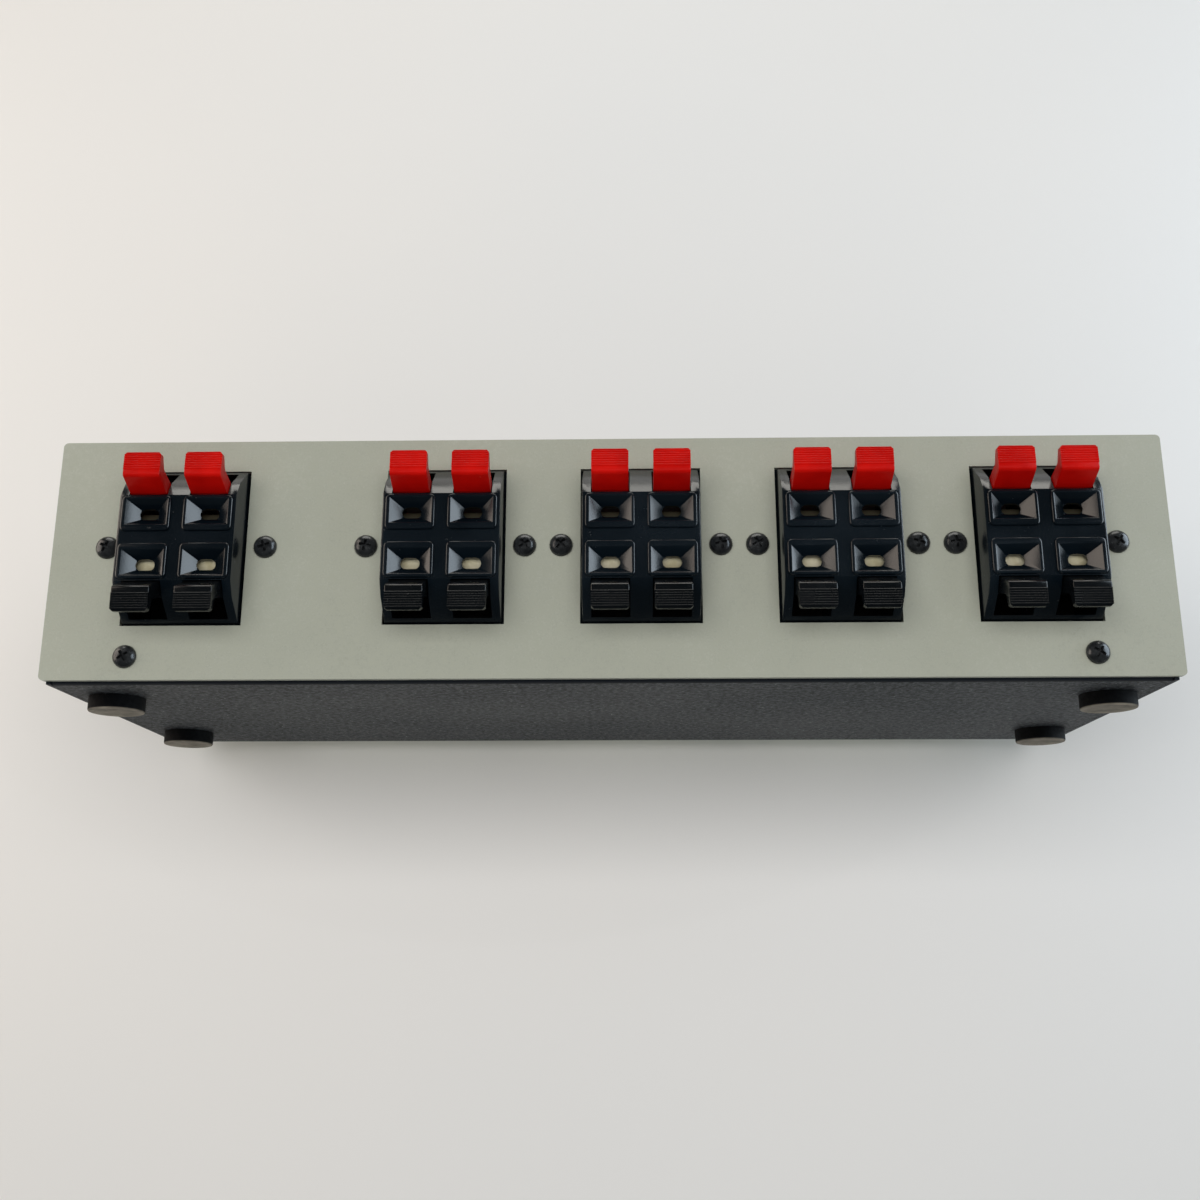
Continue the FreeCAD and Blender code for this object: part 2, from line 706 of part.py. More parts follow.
def makePivotChannels(body):
    """Channels that the lever stubs slide in along from the back, with a bearing end for each."""
    channels = newSketch(body, "PivotChannels", "YZ_Plane")
    radius = "(StubDiameter / 2 + RunningGap)"
    for side in (-1, 1):
        drawOutline(channels, [
            ("BlockBack - CutOverrun", "%d * (PivotRise - %s)" % (side, radius)),
            ("PivotReach + %s / 2" % radius, "%d * (PivotRise - %s)" % (side, radius)),
            ("PivotReach + %s" % radius, "%d * (PivotRise - %s / 2)" % (side, radius)),
            ("PivotReach + %s" % radius, "%d * (PivotRise + %s / 2)" % (side, radius)),
            ("PivotReach + %s / 2" % radius, "%d * (PivotRise + %s)" % (side, radius)),
            ("BlockBack - CutOverrun", "%d * (PivotRise + %s)" % (side, radius)),
        ])
    pocket(body, "Channels", channels, "CellPitchX + SlotWidth + 2 * StubLength + 4 * RunningGap", centred=True)


def makeFunnel(body, name, across, up):
    """One four-sided wire funnel: a well with its rim cut back at 45 degrees, and the throat at its bottom."""
    halfWidth = "(FunnelWidth / 2 - FunnelInset)"
    halfHeight = "(FunnelHeight / 2 - FunnelInset)"
    foot = newSketch(body, name + "Foot", "XZ_Plane", "-FrameReach")
    left, right = across + " - " + halfWidth, across + " + " + halfWidth
    low, high = up + " - " + halfHeight, up + " + " + halfHeight
    drawBox(foot, left, low, right, high)
    well = pocket(body, name + "Well", foot, "FunnelDepth", flipped=True)
    face = number("FrameReach")
    rim = edgesIn(well, (number(left), face, number(low)), (number(right), face, number(high)))
    dress(body, name + "Slopes", "Chamfer", well, rim, "FunnelInset")
    throat = newSketch(body, name + "Throat", "XZ_Plane", "FunnelDepth - FrameReach")
    drawCutBox(throat, across + " - ThroatWidth / 2", up + " - ThroatHeight / 2",
               across + " + ThroatWidth / 2", up + " + ThroatHeight / 2", "ThroatHeight / 3")
    pocket(body, name + "Hole", throat, "FrameReach - FunnelDepth - CavityReach", flipped=True)


def makeLever():
    """One push lever, ribbed pad up, in the frame of its block but centred on its own slot.

    The lower levers are the same piece turned half round about Y."""
    body = newBody("PushLever")
    section = newSketch(body, "LeverSection", "YZ_Plane")
    outline = [
        ("PivotReach + BarrelRadius / 2", "PivotRise - BarrelRadius"),
        ("CavityReach - LeverFrontGap", "LeverFront"),
        ("LeverBaseReach", "LeverFront"),
        ("KneeReach", "LeverFront + KneeRise"),
    ]
    slope = "(KneeReach - TipReach) / PadLength"
    for rib in range(ribCount, 0, -1):
        for along, depth in ((" + RibGroove / 2", "0"), ("", "RibDepth"), (" - RibGroove / 2", "0")):
            fromTip = "(%d * RibPitch%s)" % (rib, along)
            outline.append(("TipReach + %s * %s - %s" % (fromTip, slope, depth),
                            "LeverFront + KneeRise + PadLength - " + fromTip))
    outline += [
        ("TipReach", "LeverFront + KneeRise + PadLength"),
        ("TipReach - PadThick", "LeverFront + KneeRise + PadLength - TipSlope"),
        ("ElbowReach", "LeverFront + ElbowRise"),
        ("ShoulderReach", "LeverFront + LeverArmThick"),
        ("PivotReach", "PivotRise + BarrelRadius"),
        ("PivotReach - BarrelRadius", "PivotRise + BarrelRadius / 2"),
        ("PivotReach - HeelReach", "PivotRise + BarrelRadius / 2"),
        ("PivotReach - HeelReach", "PivotRise + BarrelRadius / 2 - HeelThick"),
        ("PivotReach - BarrelRadius", "PivotRise - BarrelRadius / 2"),
        ("PivotReach - BarrelRadius / 2", "PivotRise - BarrelRadius"),
    ]
    drawOutline(section, outline)
    pad(body, "Arm", section, "LeverWidth", centred=True)
    stubs = newSketch(body, "StubOutline", "YZ_Plane")
    drawOutline(stubs, ringOf(stubSides, "StubDiameter / 2", "PivotReach", "PivotRise"))
    pad(body, "Stubs", stubs, "LeverWidth + 2 * LeverSideGap + 2 * StubLength", centred=True)
    tongue = newSketch(body, "TongueOutline", "XZ_Plane", "-PivotReach - TongueThick / 2")
    reach = "PivotRise + TongueRise"
    drawBox(tongue, "-TongueWidth / 2", "PivotRise", "TongueWidth / 2", reach)
    pad(body, "Tongue", tongue, "TongueThick")
    return body


def makeContact():
    """One leaf contact: a straight tail along the cell's wall, folded back behind the throat."""
    body = newBody("LeafContact")
    section = newSketch(body, "LeafSection", "YZ_Plane")
    drawOutline(section, [
        ("BoardBack - ContactTail", "TailFoot"),
        ("LeafTopReach - ContactThick", "TailFoot"),
        ("LeafTopReach", "TailFoot + LeafFold"),
        ("-LeafEndReach", "LeafEndRise"),
        ("-LeafEndReach - ContactThick * LeafClimb / LeafLength",
         "LeafEndRise - ContactThick * LeafRun / LeafLength"),
        ("LeafTopReach - LeafInnerReach", "TailFoot + LeafInnerRise"),
        ("LeafTopReach - LeafTailReach", "TailFoot + ContactThick"),
        ("BoardBack - ContactTail", "TailFoot + ContactThick"),
    ])
    pad(body, "Leaf", section, "ContactWidth", centred=True)
    return body


def makeBoard():
    """The board that closes the back of a block, with a slot for each contact's tail."""
    body = newBody("TerminalBoard")
    outline = newSketch(body, "BoardOutline", "XZ_Plane", "BlockTail")
    drawBox(outline, "-BlockWidth / 2 + BoardEdge", "-SkirtHeight / 2 + BoardEdge",
            "BlockWidth / 2 - BoardEdge", "SkirtHeight / 2 - BoardEdge")
    for sideX in (-1, 1):
        for sideZ in (-1, 1):
            left = "%d * CellPitchX / 2 - ContactWidth / 2 - BoardSlotGap" % sideX
            right = "%d * CellPitchX / 2 + ContactWidth / 2 + BoardSlotGap" % sideX
            edges = ["%d * (TailFoot - BoardSlotGap)" % sideZ,
                     "%d * (TailFoot + ContactThick + BoardSlotGap)" % sideZ]
            drawBox(outline, left, edges[0] if sideZ > 0 else edges[1], right,
                    edges[1] if sideZ > 0 else edges[0])
    pad(body, "Board", outline, "BoardThick")
    return body


def makeTerminals():
    housing = makeHousing()
    lever = makeLever()
    contact = makeContact()
    board = makeBoard()
    halfTurn = FreeCAD.Rotation(vector(0, 1, 0), 180)
    nodes = []
    for block, place in enumerate(blockPlaces(), start=1):
        nodes.append(copyOf("terminal_housing_%d" % block, housing, place, "0", "BlockMiddle"))
        nodes.append(copyOf("terminal_board_%d" % block, board, place, "0", "BlockMiddle"))
        contacts = []
        for colour, turned in (("red", None), ("black", halfTurn)):
            for hand, side in (("a", 1), ("b", -1)):
                across = "%s + %d * CellPitchX / 2" % (place, side)
                name = "lever_%s_%d%s" % (colour, block, hand)
                nodes.append(copyOf(name, lever, across, "0", "BlockMiddle", turned))
                contacts.append(copyOf("Leaf_%s_%d%s" % (colour, block, hand), contact,
                                       across, "0", "BlockMiddle", turned))
        nodes.append(groupOf("terminal_contacts_%d" % block, contacts))
    return nodes


def makeSwitchBody():
    """The fixed part of a rotary switch: a square case and the bushing that its nut grips.

    Its own frame has X and Z on the shaft's axis."""
    body = newBody("SwitchBody")
    case = newSketch(body, "CaseOutline", "XZ_Plane", "-SwitchFront")
    drawCutBox(case, "-SwitchSide / 2", "-SwitchSide / 2",
               "SwitchSide / 2", "SwitchSide / 2", "WaferCorner / 2")
    pad(body, "Case", case, "SwitchDepth", flipped=True)
    bushing = newSketch(body, "BushingOutline", "XZ_Plane", "-SwitchFront")
    drawOutline(bushing, ringOf(bushingSides, "BushingDiameter / 2"))
    pad(body, "Bushing", bushing, "SheetThick + FrontPlateThick + BushingReach")
    mouth = "PlateFront - BushingReach"
    bore = newSketch(body, "BoreCircle", "XZ_Plane", "-(%s)" % mouth)
    drawCircle(bore, "0", "0", "ShaftHole")
    pocket(body, "Bore", bore, "%s - (%s) - BoreFloor" % ("WaferFront", mouth))
    return body


def makeWafer():
    body = newBody("SwitchWafer")
    outline = newSketch(body, "WaferOutline", "XZ_Plane", "-WaferFront")
    drawCutBox(outline, "-WaferSide / 2", "-WaferSide / 2", "WaferSide / 2", "WaferSide / 2", "WaferCorner")
    pad(body, "Wafer", outline, "WaferThick", flipped=True)
    return body


def makeLug():
    """One solder lug, standing on the back of the wafer near its edge."""
    body = newBody("SwitchLug")
    outline = newSketch(body, "LugOutline", "XZ_Plane", "-WaferBack")
    drawBox(outline, "-LugWidth / 2", "-LugThick / 2", "LugWidth / 2", "LugThick / 2")
    pad(body, "Lug", outline, "LugLength", flipped=True)
    return body


def makeShaft():
    """The turning shaft, with a flat under the knob."""
    body = newBody("SwitchShaft")
    outer = "PlateFront - KnobGap - KnobBoreDepth + ShaftEndGap"
    inner = "WaferFront - BoreFloor - ShaftEndGap"
    circle = newSketch(body, "ShaftCircle", "XZ_Plane", "-(%s)" % inner)
    drawCircle(circle, "0", "0", "ShaftDiameter / 2")
    pad(body, "Rod", circle, "%s - (%s)" % (inner, outer))
    flat = newSketch(body, "FlatOutline", "XZ_Plane", "-(%s)" % outer)
    drawBox(flat, "-ShaftDiameter", "ShaftDiameter / 2 - ShaftFlat", "ShaftDiameter", "ShaftDiameter")
    pocket(body, "Flat", flat, "KnobBoreDepth - KnobRecessDepth - ShaftEndGap")
    return body


def makeKnob():
    """A many-sided grip with a bevelled front edge, hollow behind to clear the nut."""
    body = newBody("Knob")
    outline = newSketch(body, "GripOutline", "XZ_Plane", "-PlateFront + KnobGap")
    drawOutline(outline, ringOf(knobSides, "KnobDiameter / 2"))
    grip = pad(body, "Grip", outline, "KnobLength")
    half = number("KnobDiameter / 2")
    face = number("PlateFront - KnobGap - KnobLength")
    rim = edgesIn(grip, (-half, face, -half), (half, face, half))
    dress(body, "RimBevel", "Chamfer", grip, rim, "KnobChamfer")
    recess = newSketch(body, "RecessOutline", "XZ_Plane", "-PlateFront + KnobGap")
    drawOutline(recess, ringOf(bushingSides, "KnobRecessDiameter / 2"))
    pocket(body, "Recess", recess, "KnobRecessDepth", flipped=True)
    bore = newSketch(body, "BoreCircle", "XZ_Plane", "-PlateFront + KnobGap")
    drawCircle(bore, "0", "0", "ShaftDiameter / 2 + KnobBoreGap")
    pocket(body, "Bore", bore, "KnobBoreDepth", flipped=True)
    return body


def makeSwitches():
    switchBody = makeSwitchBody()
    nut = makeNut("SwitchNut", "SwitchNutFlats", "SwitchNutHeight", "BushingHole")
    wafer = makeWafer()
    lug = makeLug()
    shaft = makeShaft()
    knob = makeKnob()
    nodes = []
    fixed = {"switch_bodies": [], "switch_nuts": [], "switch_wafers": [], "switch_lugs": []}
    for index, place in enumerate(knobPlaces(), start=1):
        fixed["switch_bodies"].append(copyOf("Switch%d" % index, switchBody, place, "0", "PanelMiddle"))
        fixed["switch_nuts"].append(copyOf("Nut%d" % index, nut, place, "PlateFront", "PanelMiddle"))
        fixed["switch_wafers"].append(copyOf("Wafer%d" % index, wafer, place, "0", "PanelMiddle"))
        for side in (-1, 1):
            for step in range(lugCount):
                across = "%s + %d * LugPitch" % (place, step - (lugCount - 1) // 2)
                up = "PanelMiddle + %d * (WaferSide / 2 - LugWidth)" % side
                name = "Lug%d_%d_%d" % (index, side + 2, step)
                fixed["switch_lugs"].append(copyOf(name, lug, across, "0", up))
        nodes.append(copyOf("switch_shaft_%d" % index, shaft, place, "0", "PanelMiddle"))
        nodes.append(copyOf("knob_%d" % index, knob, place, "0", "PanelMiddle"))
    for label, pieces in fixed.items():
        nodes.append(groupOf(label, pieces))
    return nodes


def levelRibbon(points, halfWide, halfThick):
    """A flat wire ribbon along level points, with a tangent arc of the loom's bend at each turn."""
    bend = number("LoomBend")
    edges = []
    start = points[0]
    for index in range(1, len(points) - 1):
        corner = points[index]
        before = (corner - points[index - 1]).normalize()
        after = (points[index + 1] - corner).normalize()
        turn = before.getAngle(after)
        cut = bend * math.tan(turn / 2)
        arcStart = corner - before * cut
        arcEnd = corner + after * cut
        inward = (after - before).normalize()
        middle = corner + inward * (bend / math.cos(turn / 2) - bend)
        edges.append(Part.LineSegment(start, arcStart).toShape())
        edges.append(Part.Arc(arcStart, middle, arcEnd).toShape())
        start = arcEnd
    edges.append(Part.LineSegment(start, points[-1]).toShape())
    corners = []
    for across, up in ((-1, -1), (1, -1), (1, 1), (-1, 1), (-1, -1)):
        corners.append(points[0] + vector(across * halfWide, 0, up * halfThick))
    return Part.Wire(edges).makePipeShell([Part.makePolygon(corners)], True, False)


def makeLooms():
    """One loom from each output block to its switch, and one from the input past all four."""
    halfWide = number("LoomWidth / 2")
    halfThick = number("LoomThick / 2")
    start = number("BoardBack")
    finish = number("WaferBack")
    middle = number("PanelMiddle")
    step = number("LoomStep")
    sideStep = number("LoomSideStep")
    blocks = [number(place) for place in blockPlaces()]
    knobs = [number(place) for place in knobPlaces()]
    looms = []
    for index in range(outputCount):
        level = middle + (index - 2) * step
        fromX = blocks[index + 1]
        toX = knobs[index] - math.copysign(sideStep, knobs[index] - fromX)
        halfway = (start + finish) / 2
        lean = min(abs(toX - fromX) / 2, (start - finish) / 4)
        points = [vector(fromX, start, level), vector(fromX, halfway + lean, level),
                  vector(toX, halfway - lean, level), vector(toX, finish, level)]
        looms.append(levelRibbon(points, halfWide, halfThick))
    level = middle + (outputCount - 2) * step
    busY = finish + number("BusGap")
    lastX = knobs[-1] + sideStep
    bus = levelRibbon([vector(blocks[0], start, level), vector(blocks[0], busY, level),
                     vector(lastX, busY, level), vector(lastX, finish, level)],
                    halfWide, halfThick)
    taps = []
    for knob in knobs[:-1]:
        corner = vector(knob - sideStep - halfWide, finish, level - halfThick)
        taps.append(Part.makeBox(2 * halfWide, busY - finish, 2 * halfThick, corner))
    looms.append(bus.multiFuse(taps))
    feature = document.addObject("Part::Feature", "wiring_looms")
    feature.Shape = Part.makeCompound(looms)
    feature.Placement = FreeCAD.Placement(vector(0, number("RearPlane"), 0), FreeCAD.Rotation())
    return feature


def checkAll():
    for item in document.Objects:
        if "Invalid" in item.State or "Error" in item.State:
            raise ValueError("%s failed: %s" % (item.Label, item.State))


def writeNodes(nodes):
    os.makedirs("parts", exist_ok=True)
    for node in nodes:
        shape = Part.getShape(node)
        if shape.isNull() or not shape.isValid():
            raise ValueError("%s has no valid shape" % node.Label)
        shape.exportStep("parts/%s.step" % node.Label)
        print("%-22s %3d solids %10.1f mm3" % (node.Label, len(shape.Solids), shape.Volume))
    print(len(nodes), "nodes")


fillSheet()
nodes = [makeChassis(), makeCover(), makeRearPanel(), makeFrontPlate(), makeFeet()]
nodes += makeFasteners()
nodes += makeTerminals()
nodes += makeSwitches()
nodes.append(makeLooms())
document.recompute()
checkAll()
writeNodes(nodes)
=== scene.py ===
import bmesh
import bpy
import math
from mathutils import Matrix, Vector


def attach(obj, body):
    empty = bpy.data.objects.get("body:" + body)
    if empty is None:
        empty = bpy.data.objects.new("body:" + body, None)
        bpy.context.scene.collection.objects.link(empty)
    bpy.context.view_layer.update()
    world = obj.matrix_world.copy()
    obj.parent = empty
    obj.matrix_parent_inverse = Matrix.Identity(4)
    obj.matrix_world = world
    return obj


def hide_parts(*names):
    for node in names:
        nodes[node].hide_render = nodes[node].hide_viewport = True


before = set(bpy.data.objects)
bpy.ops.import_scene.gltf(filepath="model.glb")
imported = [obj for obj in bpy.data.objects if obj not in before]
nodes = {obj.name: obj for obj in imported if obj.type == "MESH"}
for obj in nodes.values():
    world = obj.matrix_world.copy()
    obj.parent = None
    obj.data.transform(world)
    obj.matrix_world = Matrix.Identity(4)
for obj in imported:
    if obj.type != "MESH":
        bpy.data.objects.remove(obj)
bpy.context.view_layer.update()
mm = 0.001
print("frame loaded:", len(nodes), "nodes")

# places shared by all pieces, in mm, in the row frame
layout = {
    "panelFace": 48.15,          # outer face of the rear panel
    "plateFace": -44.85,         # outer face of the front plate
    "panelMiddle": 33.07,
    "blockMiddle": 35.62,
    "blockAcross": [98.4, 37.75, -7.8, -53.35, -98.9],
    "knobAcross": [106.5, 35.5, -35.5, -106.5],
    "cellAcross": 7.0,           # from a block's middle to its levers and openings
}
near = 0.01                      # places in mm that are closer than this are the same


# helpers that work as by hand in the viewport

def clearPick():
    if bpy.context.object and bpy.context.object.mode != "OBJECT":
        bpy.ops.object.mode_set(mode="OBJECT")
    bpy.ops.object.select_all(action="DESELECT")


def takeUp(piece):
    clearPick()
    piece.select_set(True)
    bpy.context.view_layer.objects.active = piece


def settle(piece):
    takeUp(piece)
    bpy.ops.object.transform_apply(location=True, rotation=True, scale=True)


def boxPiece(name, low, high):
    clearPick()
    middle = [(a + b) / 2 * mm for a, b in zip(low, high)]
    span = [(b - a) * mm for a, b in zip(low, high)]
    bpy.ops.mesh.primitive_cube_add(size=1, location=middle, scale=span)
    piece = bpy.context.object
    piece.name = name
    settle(piece)
    return piece


def pickFaces(piece, test):      # test gets the face's middle in mm and its normal
    takeUp(piece)
    bpy.ops.object.mode_set(mode="EDIT")
    bpy.ops.mesh.select_mode(type="FACE")
    bpy.ops.mesh.select_all(action="DESELECT")
    mesh = bmesh.from_edit_mesh(piece.data)
    for face in mesh.faces:
        if test(face.calc_center_median() / mm, face.normal):
            face.select_set(True)
    bmesh.update_edit_mesh(piece.data)


def pickEdges(piece, test, sharp=None):      # test gets the edge's two ends in mm
    takeUp(piece)
    bpy.ops.object.mode_set(mode="EDIT")
    bpy.ops.mesh.select_mode(type="EDGE")
    bpy.ops.mesh.select_all(action="DESELECT")
    mesh = bmesh.from_edit_mesh(piece.data)
    for edge in mesh.edges:
        if sharp and (len(edge.link_faces) != 2 or edge.calc_face_angle() < math.radians(sharp)):
            continue
        if test(edge.verts[0].co / mm, edge.verts[1].co / mm):
            edge.select_set(True)
    bmesh.update_edit_mesh(piece.data)


def bevelPicked(width, segments):
    bpy.ops.mesh.bevel(offset=width * mm, segments=segments, profile=0.5, affect="EDGES")
    bpy.ops.object.mode_set(mode="OBJECT")


def drawLine(name, points, closed=True):      # a profile drawn by pulling one vertex along, points in mm
    clearPick()
    bpy.ops.mesh.primitive_plane_add(size=mm, location=[c * mm for c in points[0]])
    piece = bpy.context.object
    piece.name = name
    settle(piece)
    bpy.ops.object.mode_set(mode="EDIT")
    bpy.ops.mesh.select_mode(type="VERT")
    bpy.ops.mesh.select_all(action="SELECT")
    bpy.ops.mesh.merge(type="CENTER")
    for start, end in zip(points, points[1:]):
        step = [(b - a) * mm for a, b in zip(start, end)]
        bpy.ops.mesh.extrude_region_move(TRANSFORM_OT_translate={"value": step})
    bpy.ops.mesh.select_all(action="SELECT")
    if closed:
        bpy.ops.mesh.edge_face_add()
    bpy.ops.object.mode_set(mode="OBJECT")
    return piece


def faceOut(piece):
    takeUp(piece)
    bpy.ops.object.mode_set(mode="EDIT")
    bpy.ops.mesh.select_all(action="SELECT")
    bpy.ops.mesh.remove_doubles(threshold=0.002 * mm)
    bpy.ops.mesh.normals_make_consistent(inside=False)
    bpy.ops.object.mode_set(mode="OBJECT")


def pullSolid(piece, shift):     # the drawn profile becomes a solid
    takeUp(piece)
    bpy.ops.object.mode_set(mode="EDIT")
    bpy.ops.mesh.select_all(action="SELECT")
    bpy.ops.mesh.extrude_region_move(TRANSFORM_OT_translate={"value": [c * mm for c in shift]})
    bpy.ops.object.mode_set(mode="OBJECT")
    faceOut(piece)


def spinSolid(piece, axis, steps):           # a profile with both ends on the axis becomes a turned solid
    takeUp(piece)
    bpy.ops.object.mode_set(mode="EDIT")
    bpy.ops.mesh.select_all(action="SELECT")
    bpy.ops.mesh.spin(steps=steps, angle=math.radians(360), center=(0, 0, 0), axis=axis)
    bpy.ops.object.mode_set(mode="OBJECT")
    faceOut(piece)


def joinWith(piece, tool, operation):
    takeUp(piece)
    step = piece.modifiers.new("Join", "BOOLEAN")
    step.operation = operation
    step.solver = "EXACT"
    step.object = tool
    bpy.ops.object.modifier_apply(modifier=step.name)
    bpy.data.objects.remove(tool, do_unlink=True)


def softShade(piece, angle=32):
    takeUp(piece)
    bpy.ops.object.shade_smooth_by_angle(angle=math.radians(angle))


def copyTo(master, name, place, turn=None):
    twin = master.copy()
    twin.data = master.data.copy()
    twin.name = name
    bpy.context.scene.collection.objects.link(twin)
    if turn:
        twin.rotation_euler = turn
    twin.location = [c * mm for c in place]
    settle(twin)
    return twin


def mergeAs(name, pieces):
    clearPick()
    for piece in pieces:
        piece.select_set(True)
    bpy.context.view_layer.objects.active = pieces[0]
    if len(pieces) > 1:
        bpy.ops.object.join()
    pieces[0].name = name
    return pieces[0]


# finishes

def shade(red, green, blue):     # 0 to 255 as seen on a screen, to the linear colour that nodes take
    def level(value):
        value = value / 255
        return value / 12.92 if value <= 0.04045 else ((value + 0.055) / 1.055) ** 2.4
    return (level(red), level(green), level(blue), 1.0)


noiseSpan = (0.3, 0.7)           # nearly all values of a noise lie in here
toneSpan = (0.35, 0.65)          # a narrower stretch, for clearer patches of colour


class Wire:                      # one socket; sums on it add Math nodes
    def __init__(self, tree, socket):
        self.tree = tree
        self.socket = socket

    def node(self, kind, settings=None, values=None, give=0):
        made = self.tree.nodes.new(kind)
        for key, value in (settings or {}).items():
            if key == "stops":
                while len(made.color_ramp.elements) < len(value):
                    made.color_ramp.elements.new(0.5)
                for element, (place, tint) in zip(made.color_ramp.elements, value):
                    element.position = place
                    element.color = tint
            else:
                setattr(made, key, value)
        for key, value in (values or {}).items():
            self.feed(made.inputs[key], value)
        return Wire(self.tree, made.outputs[give])

    def feed(self, target, value):
        if isinstance(value, Wire):
            self.tree.links.new(value.socket, target)
        else:
            target.default_value = value

    def math(self, operation, first, second=0.0):
        return self.node("ShaderNodeMath", {"operation": operation}, {0: first, 1: second})

    def __add__(self, other):
        return self.math("ADD", self, other)

    def __sub__(self, other):
        return self.math("SUBTRACT", self, other)

    def __mul__(self, other):
        return self.math("MULTIPLY", self, other)

    def __rsub__(self, other):
        return self.math("SUBTRACT", other, self)

    __radd__ = __add__
    __rmul__ = __mul__

    def noise(self, scale, detail=2.0, rough=0.5):
        return self.node("ShaderNodeTexNoise", None,
                         {"Vector": self, "Scale": scale, "Detail": detail, "Roughness": rough})

    def spread(self, low, high, toLow=0.0, toHigh=1.0):      # one stretch of values to another
        return self.node("ShaderNodeMapRange", None, {"Value": self, "From Min": low, "From Max": high,
                                                      "To Min": toLow, "To Max": toHigh})

    def wear(self, roughness, under, over):  # a noise spread round one roughness
        return self.spread(*noiseSpan, roughness - under, roughness + over)

    def mixShade(self, first, second):       # this value picks between two colours
        return self.node("ShaderNodeMix", {"data_type": "RGBA"}, {0: self, 6: first, 7: second}, give=2)

    def bump(self, strength, distance):      # distance in mm
        return self.node("ShaderNodeBump", None,
                         {"Height": self, "Strength": strength, "Distance": distance * mm})

    def part(self, letter):
        split = self.node("ShaderNodeSeparateXYZ", None, {0: self})
        return Wire(self.tree, split.socket.node.outputs[letter])


def newFinish(name):
    material = bpy.data.materials.new(name)
    material.use_nodes = True
    tree = material.node_tree
    tree.nodes.clear()
    shader = tree.nodes.new("ShaderNodeBsdfPrincipled")
    end = tree.nodes.new("ShaderNodeOutputMaterial")
    tree.links.new(shader.outputs[0], end.inputs[0])
    place = Wire(tree, tree.nodes.new("ShaderNodeTexCoord").outputs["Object"])
    return material, place, shader


def setShader(place, shader, values):
    for key, value in values.items():
        place.feed(shader.inputs[key], value)


def giveFinish(piece, material):
    piece.data.materials.clear()
    piece.data.materials.append(material)


def makeCasePaint():
    charcoal = {
        "dark": shade(12, 16, 20), "light": shade(80, 85, 89), "toneFrom": 0.42, "toneTo": 0.6,
        "speck": shade(190, 195, 198), "speckFrom": 0.66, "speckTo": 0.74, "speckGrain": (0.5, 0.6),
        # the bend colour is painted shade, a dark band where the sheet turns up behind the panel
        "bend": shade(16, 22, 30), "bendBehind": (45.1, 45.5), "bendUp": (5.0, 5.6),
        "grain": 820, "fineness": 2.6, "grainShare": 0.65, "broad": 14,
        "roughness": 0.62, "sheen": 0.25, "bump": 0.8, "bumpDepth": 0.25,
    }
    material, place, shader = newFinish("sandedCharcoalPaint")
    grain = place.noise(charcoal["grain"], 3.0, 0.6)
    fine = place.noise(charcoal["grain"] * charcoal["fineness"], 2.0, 0.6)
    broad = place.noise(charcoal["broad"], 2.0, 0.5)
    mound = grain * charcoal["grainShare"] + fine * (1 - charcoal["grainShare"])
    tone = mound.spread(charcoal["toneFrom"], charcoal["toneTo"]).mixShade(charcoal["dark"], charcoal["light"])
    speck = fine.spread(charcoal["speckFrom"], charcoal["speckTo"]) * grain.spread(*charcoal["speckGrain"])
    tone = speck.mixShade(tone, charcoal["speck"])
    bend = place.part("Y").spread(*[y * mm for y in charcoal["bendBehind"]])
    bend = bend * place.part("Z").spread(*[z * mm for z in charcoal["bendUp"]], 1.0, 0.0)
    tone = bend.mixShade(tone, charcoal["bend"])         # smooth where the sheet turns up behind the panel, and darker there: the dark colour is painted shade in the bend
    mound = mound * (1 - bend)
    setShader(place, shader, {
        "Base Color": tone,
        "Roughness": broad.wear(charcoal["roughness"], 0.06, 0.08),
        "Normal": mound.bump(charcoal["bump"], charcoal["bumpDepth"]),
        "Specular IOR Level": charcoal["sheen"],
    })
    return material


def makePanelPaint():
    grey = {
        "base": shade(163, 165, 151), "low": shade(154, 156, 143), "high": shade(171, 173, 160),
        "mottle": 45, "fine": 2600, "tint": 900,
        "roughness": 0.42, "bump": 0.12, "bumpDepth": 0.05,
    }
    material, place, shader = newFinish("greyPanelPaint")
    mottle = place.noise(grey["mottle"], 4.0, 0.6)
    fine = place.noise(grey["fine"], 2.0, 0.6)
    tone = (mottle * 0.5 + fine * 0.5).spread(*toneSpan).mixShade(grey["low"], grey["high"])
    tint = place.noise(grey["tint"], 1.0, 0.5).spread(*noiseSpan).mixShade(tone, grey["base"])
    setShader(place, shader, {
        "Base Color": tint,
        "Roughness": mottle.wear(grey["roughness"], 0.05, 0.07),
        "Normal": fine.bump(grey["bump"], grey["bumpDepth"]),
    })
    return material


plasticGrain = {"fine": 1800, "dust": 700, "dustBlend": 0.06, "dustRough": 0.2, "depth": 0.04, "sheen": 0.5}


def makePlastic(name, plastic):      # sheen is how strongly it mirrors
    material, place, shader = newFinish(name)
    cloud = place.noise(plastic["cloud"], 3.0, 0.55)
    fine = place.noise(plasticGrain["fine"], 2.0, 0.5)
    dust = place.noise(plasticGrain["dust"], 2.0, 0.7)
    dust = dust.spread(plastic["dustFrom"], plastic["dustFrom"] + plasticGrain["dustBlend"])
    tone = cloud.spread(*toneSpan).mixShade(plastic["low"], plastic["high"])
    tone = (dust * plastic["dust"]).mixShade(tone, plastic["dustShade"])
    setShader(place, shader, {
        "Base Color": tone,
        "Roughness": cloud.wear(plastic["roughness"], 0.05, 0.06) + dust * plasticGrain["dustRough"],
        "Normal": fine.bump(plastic["bump"], plasticGrain["depth"]),
        "Specular IOR Level": plastic.get("sheen", plasticGrain["sheen"]),
    })
    return material


metalGrain = {"fine": 2200, "cloudShare": 0.6, "paintedShadeBlend": 0.5, "depth": 0.03}


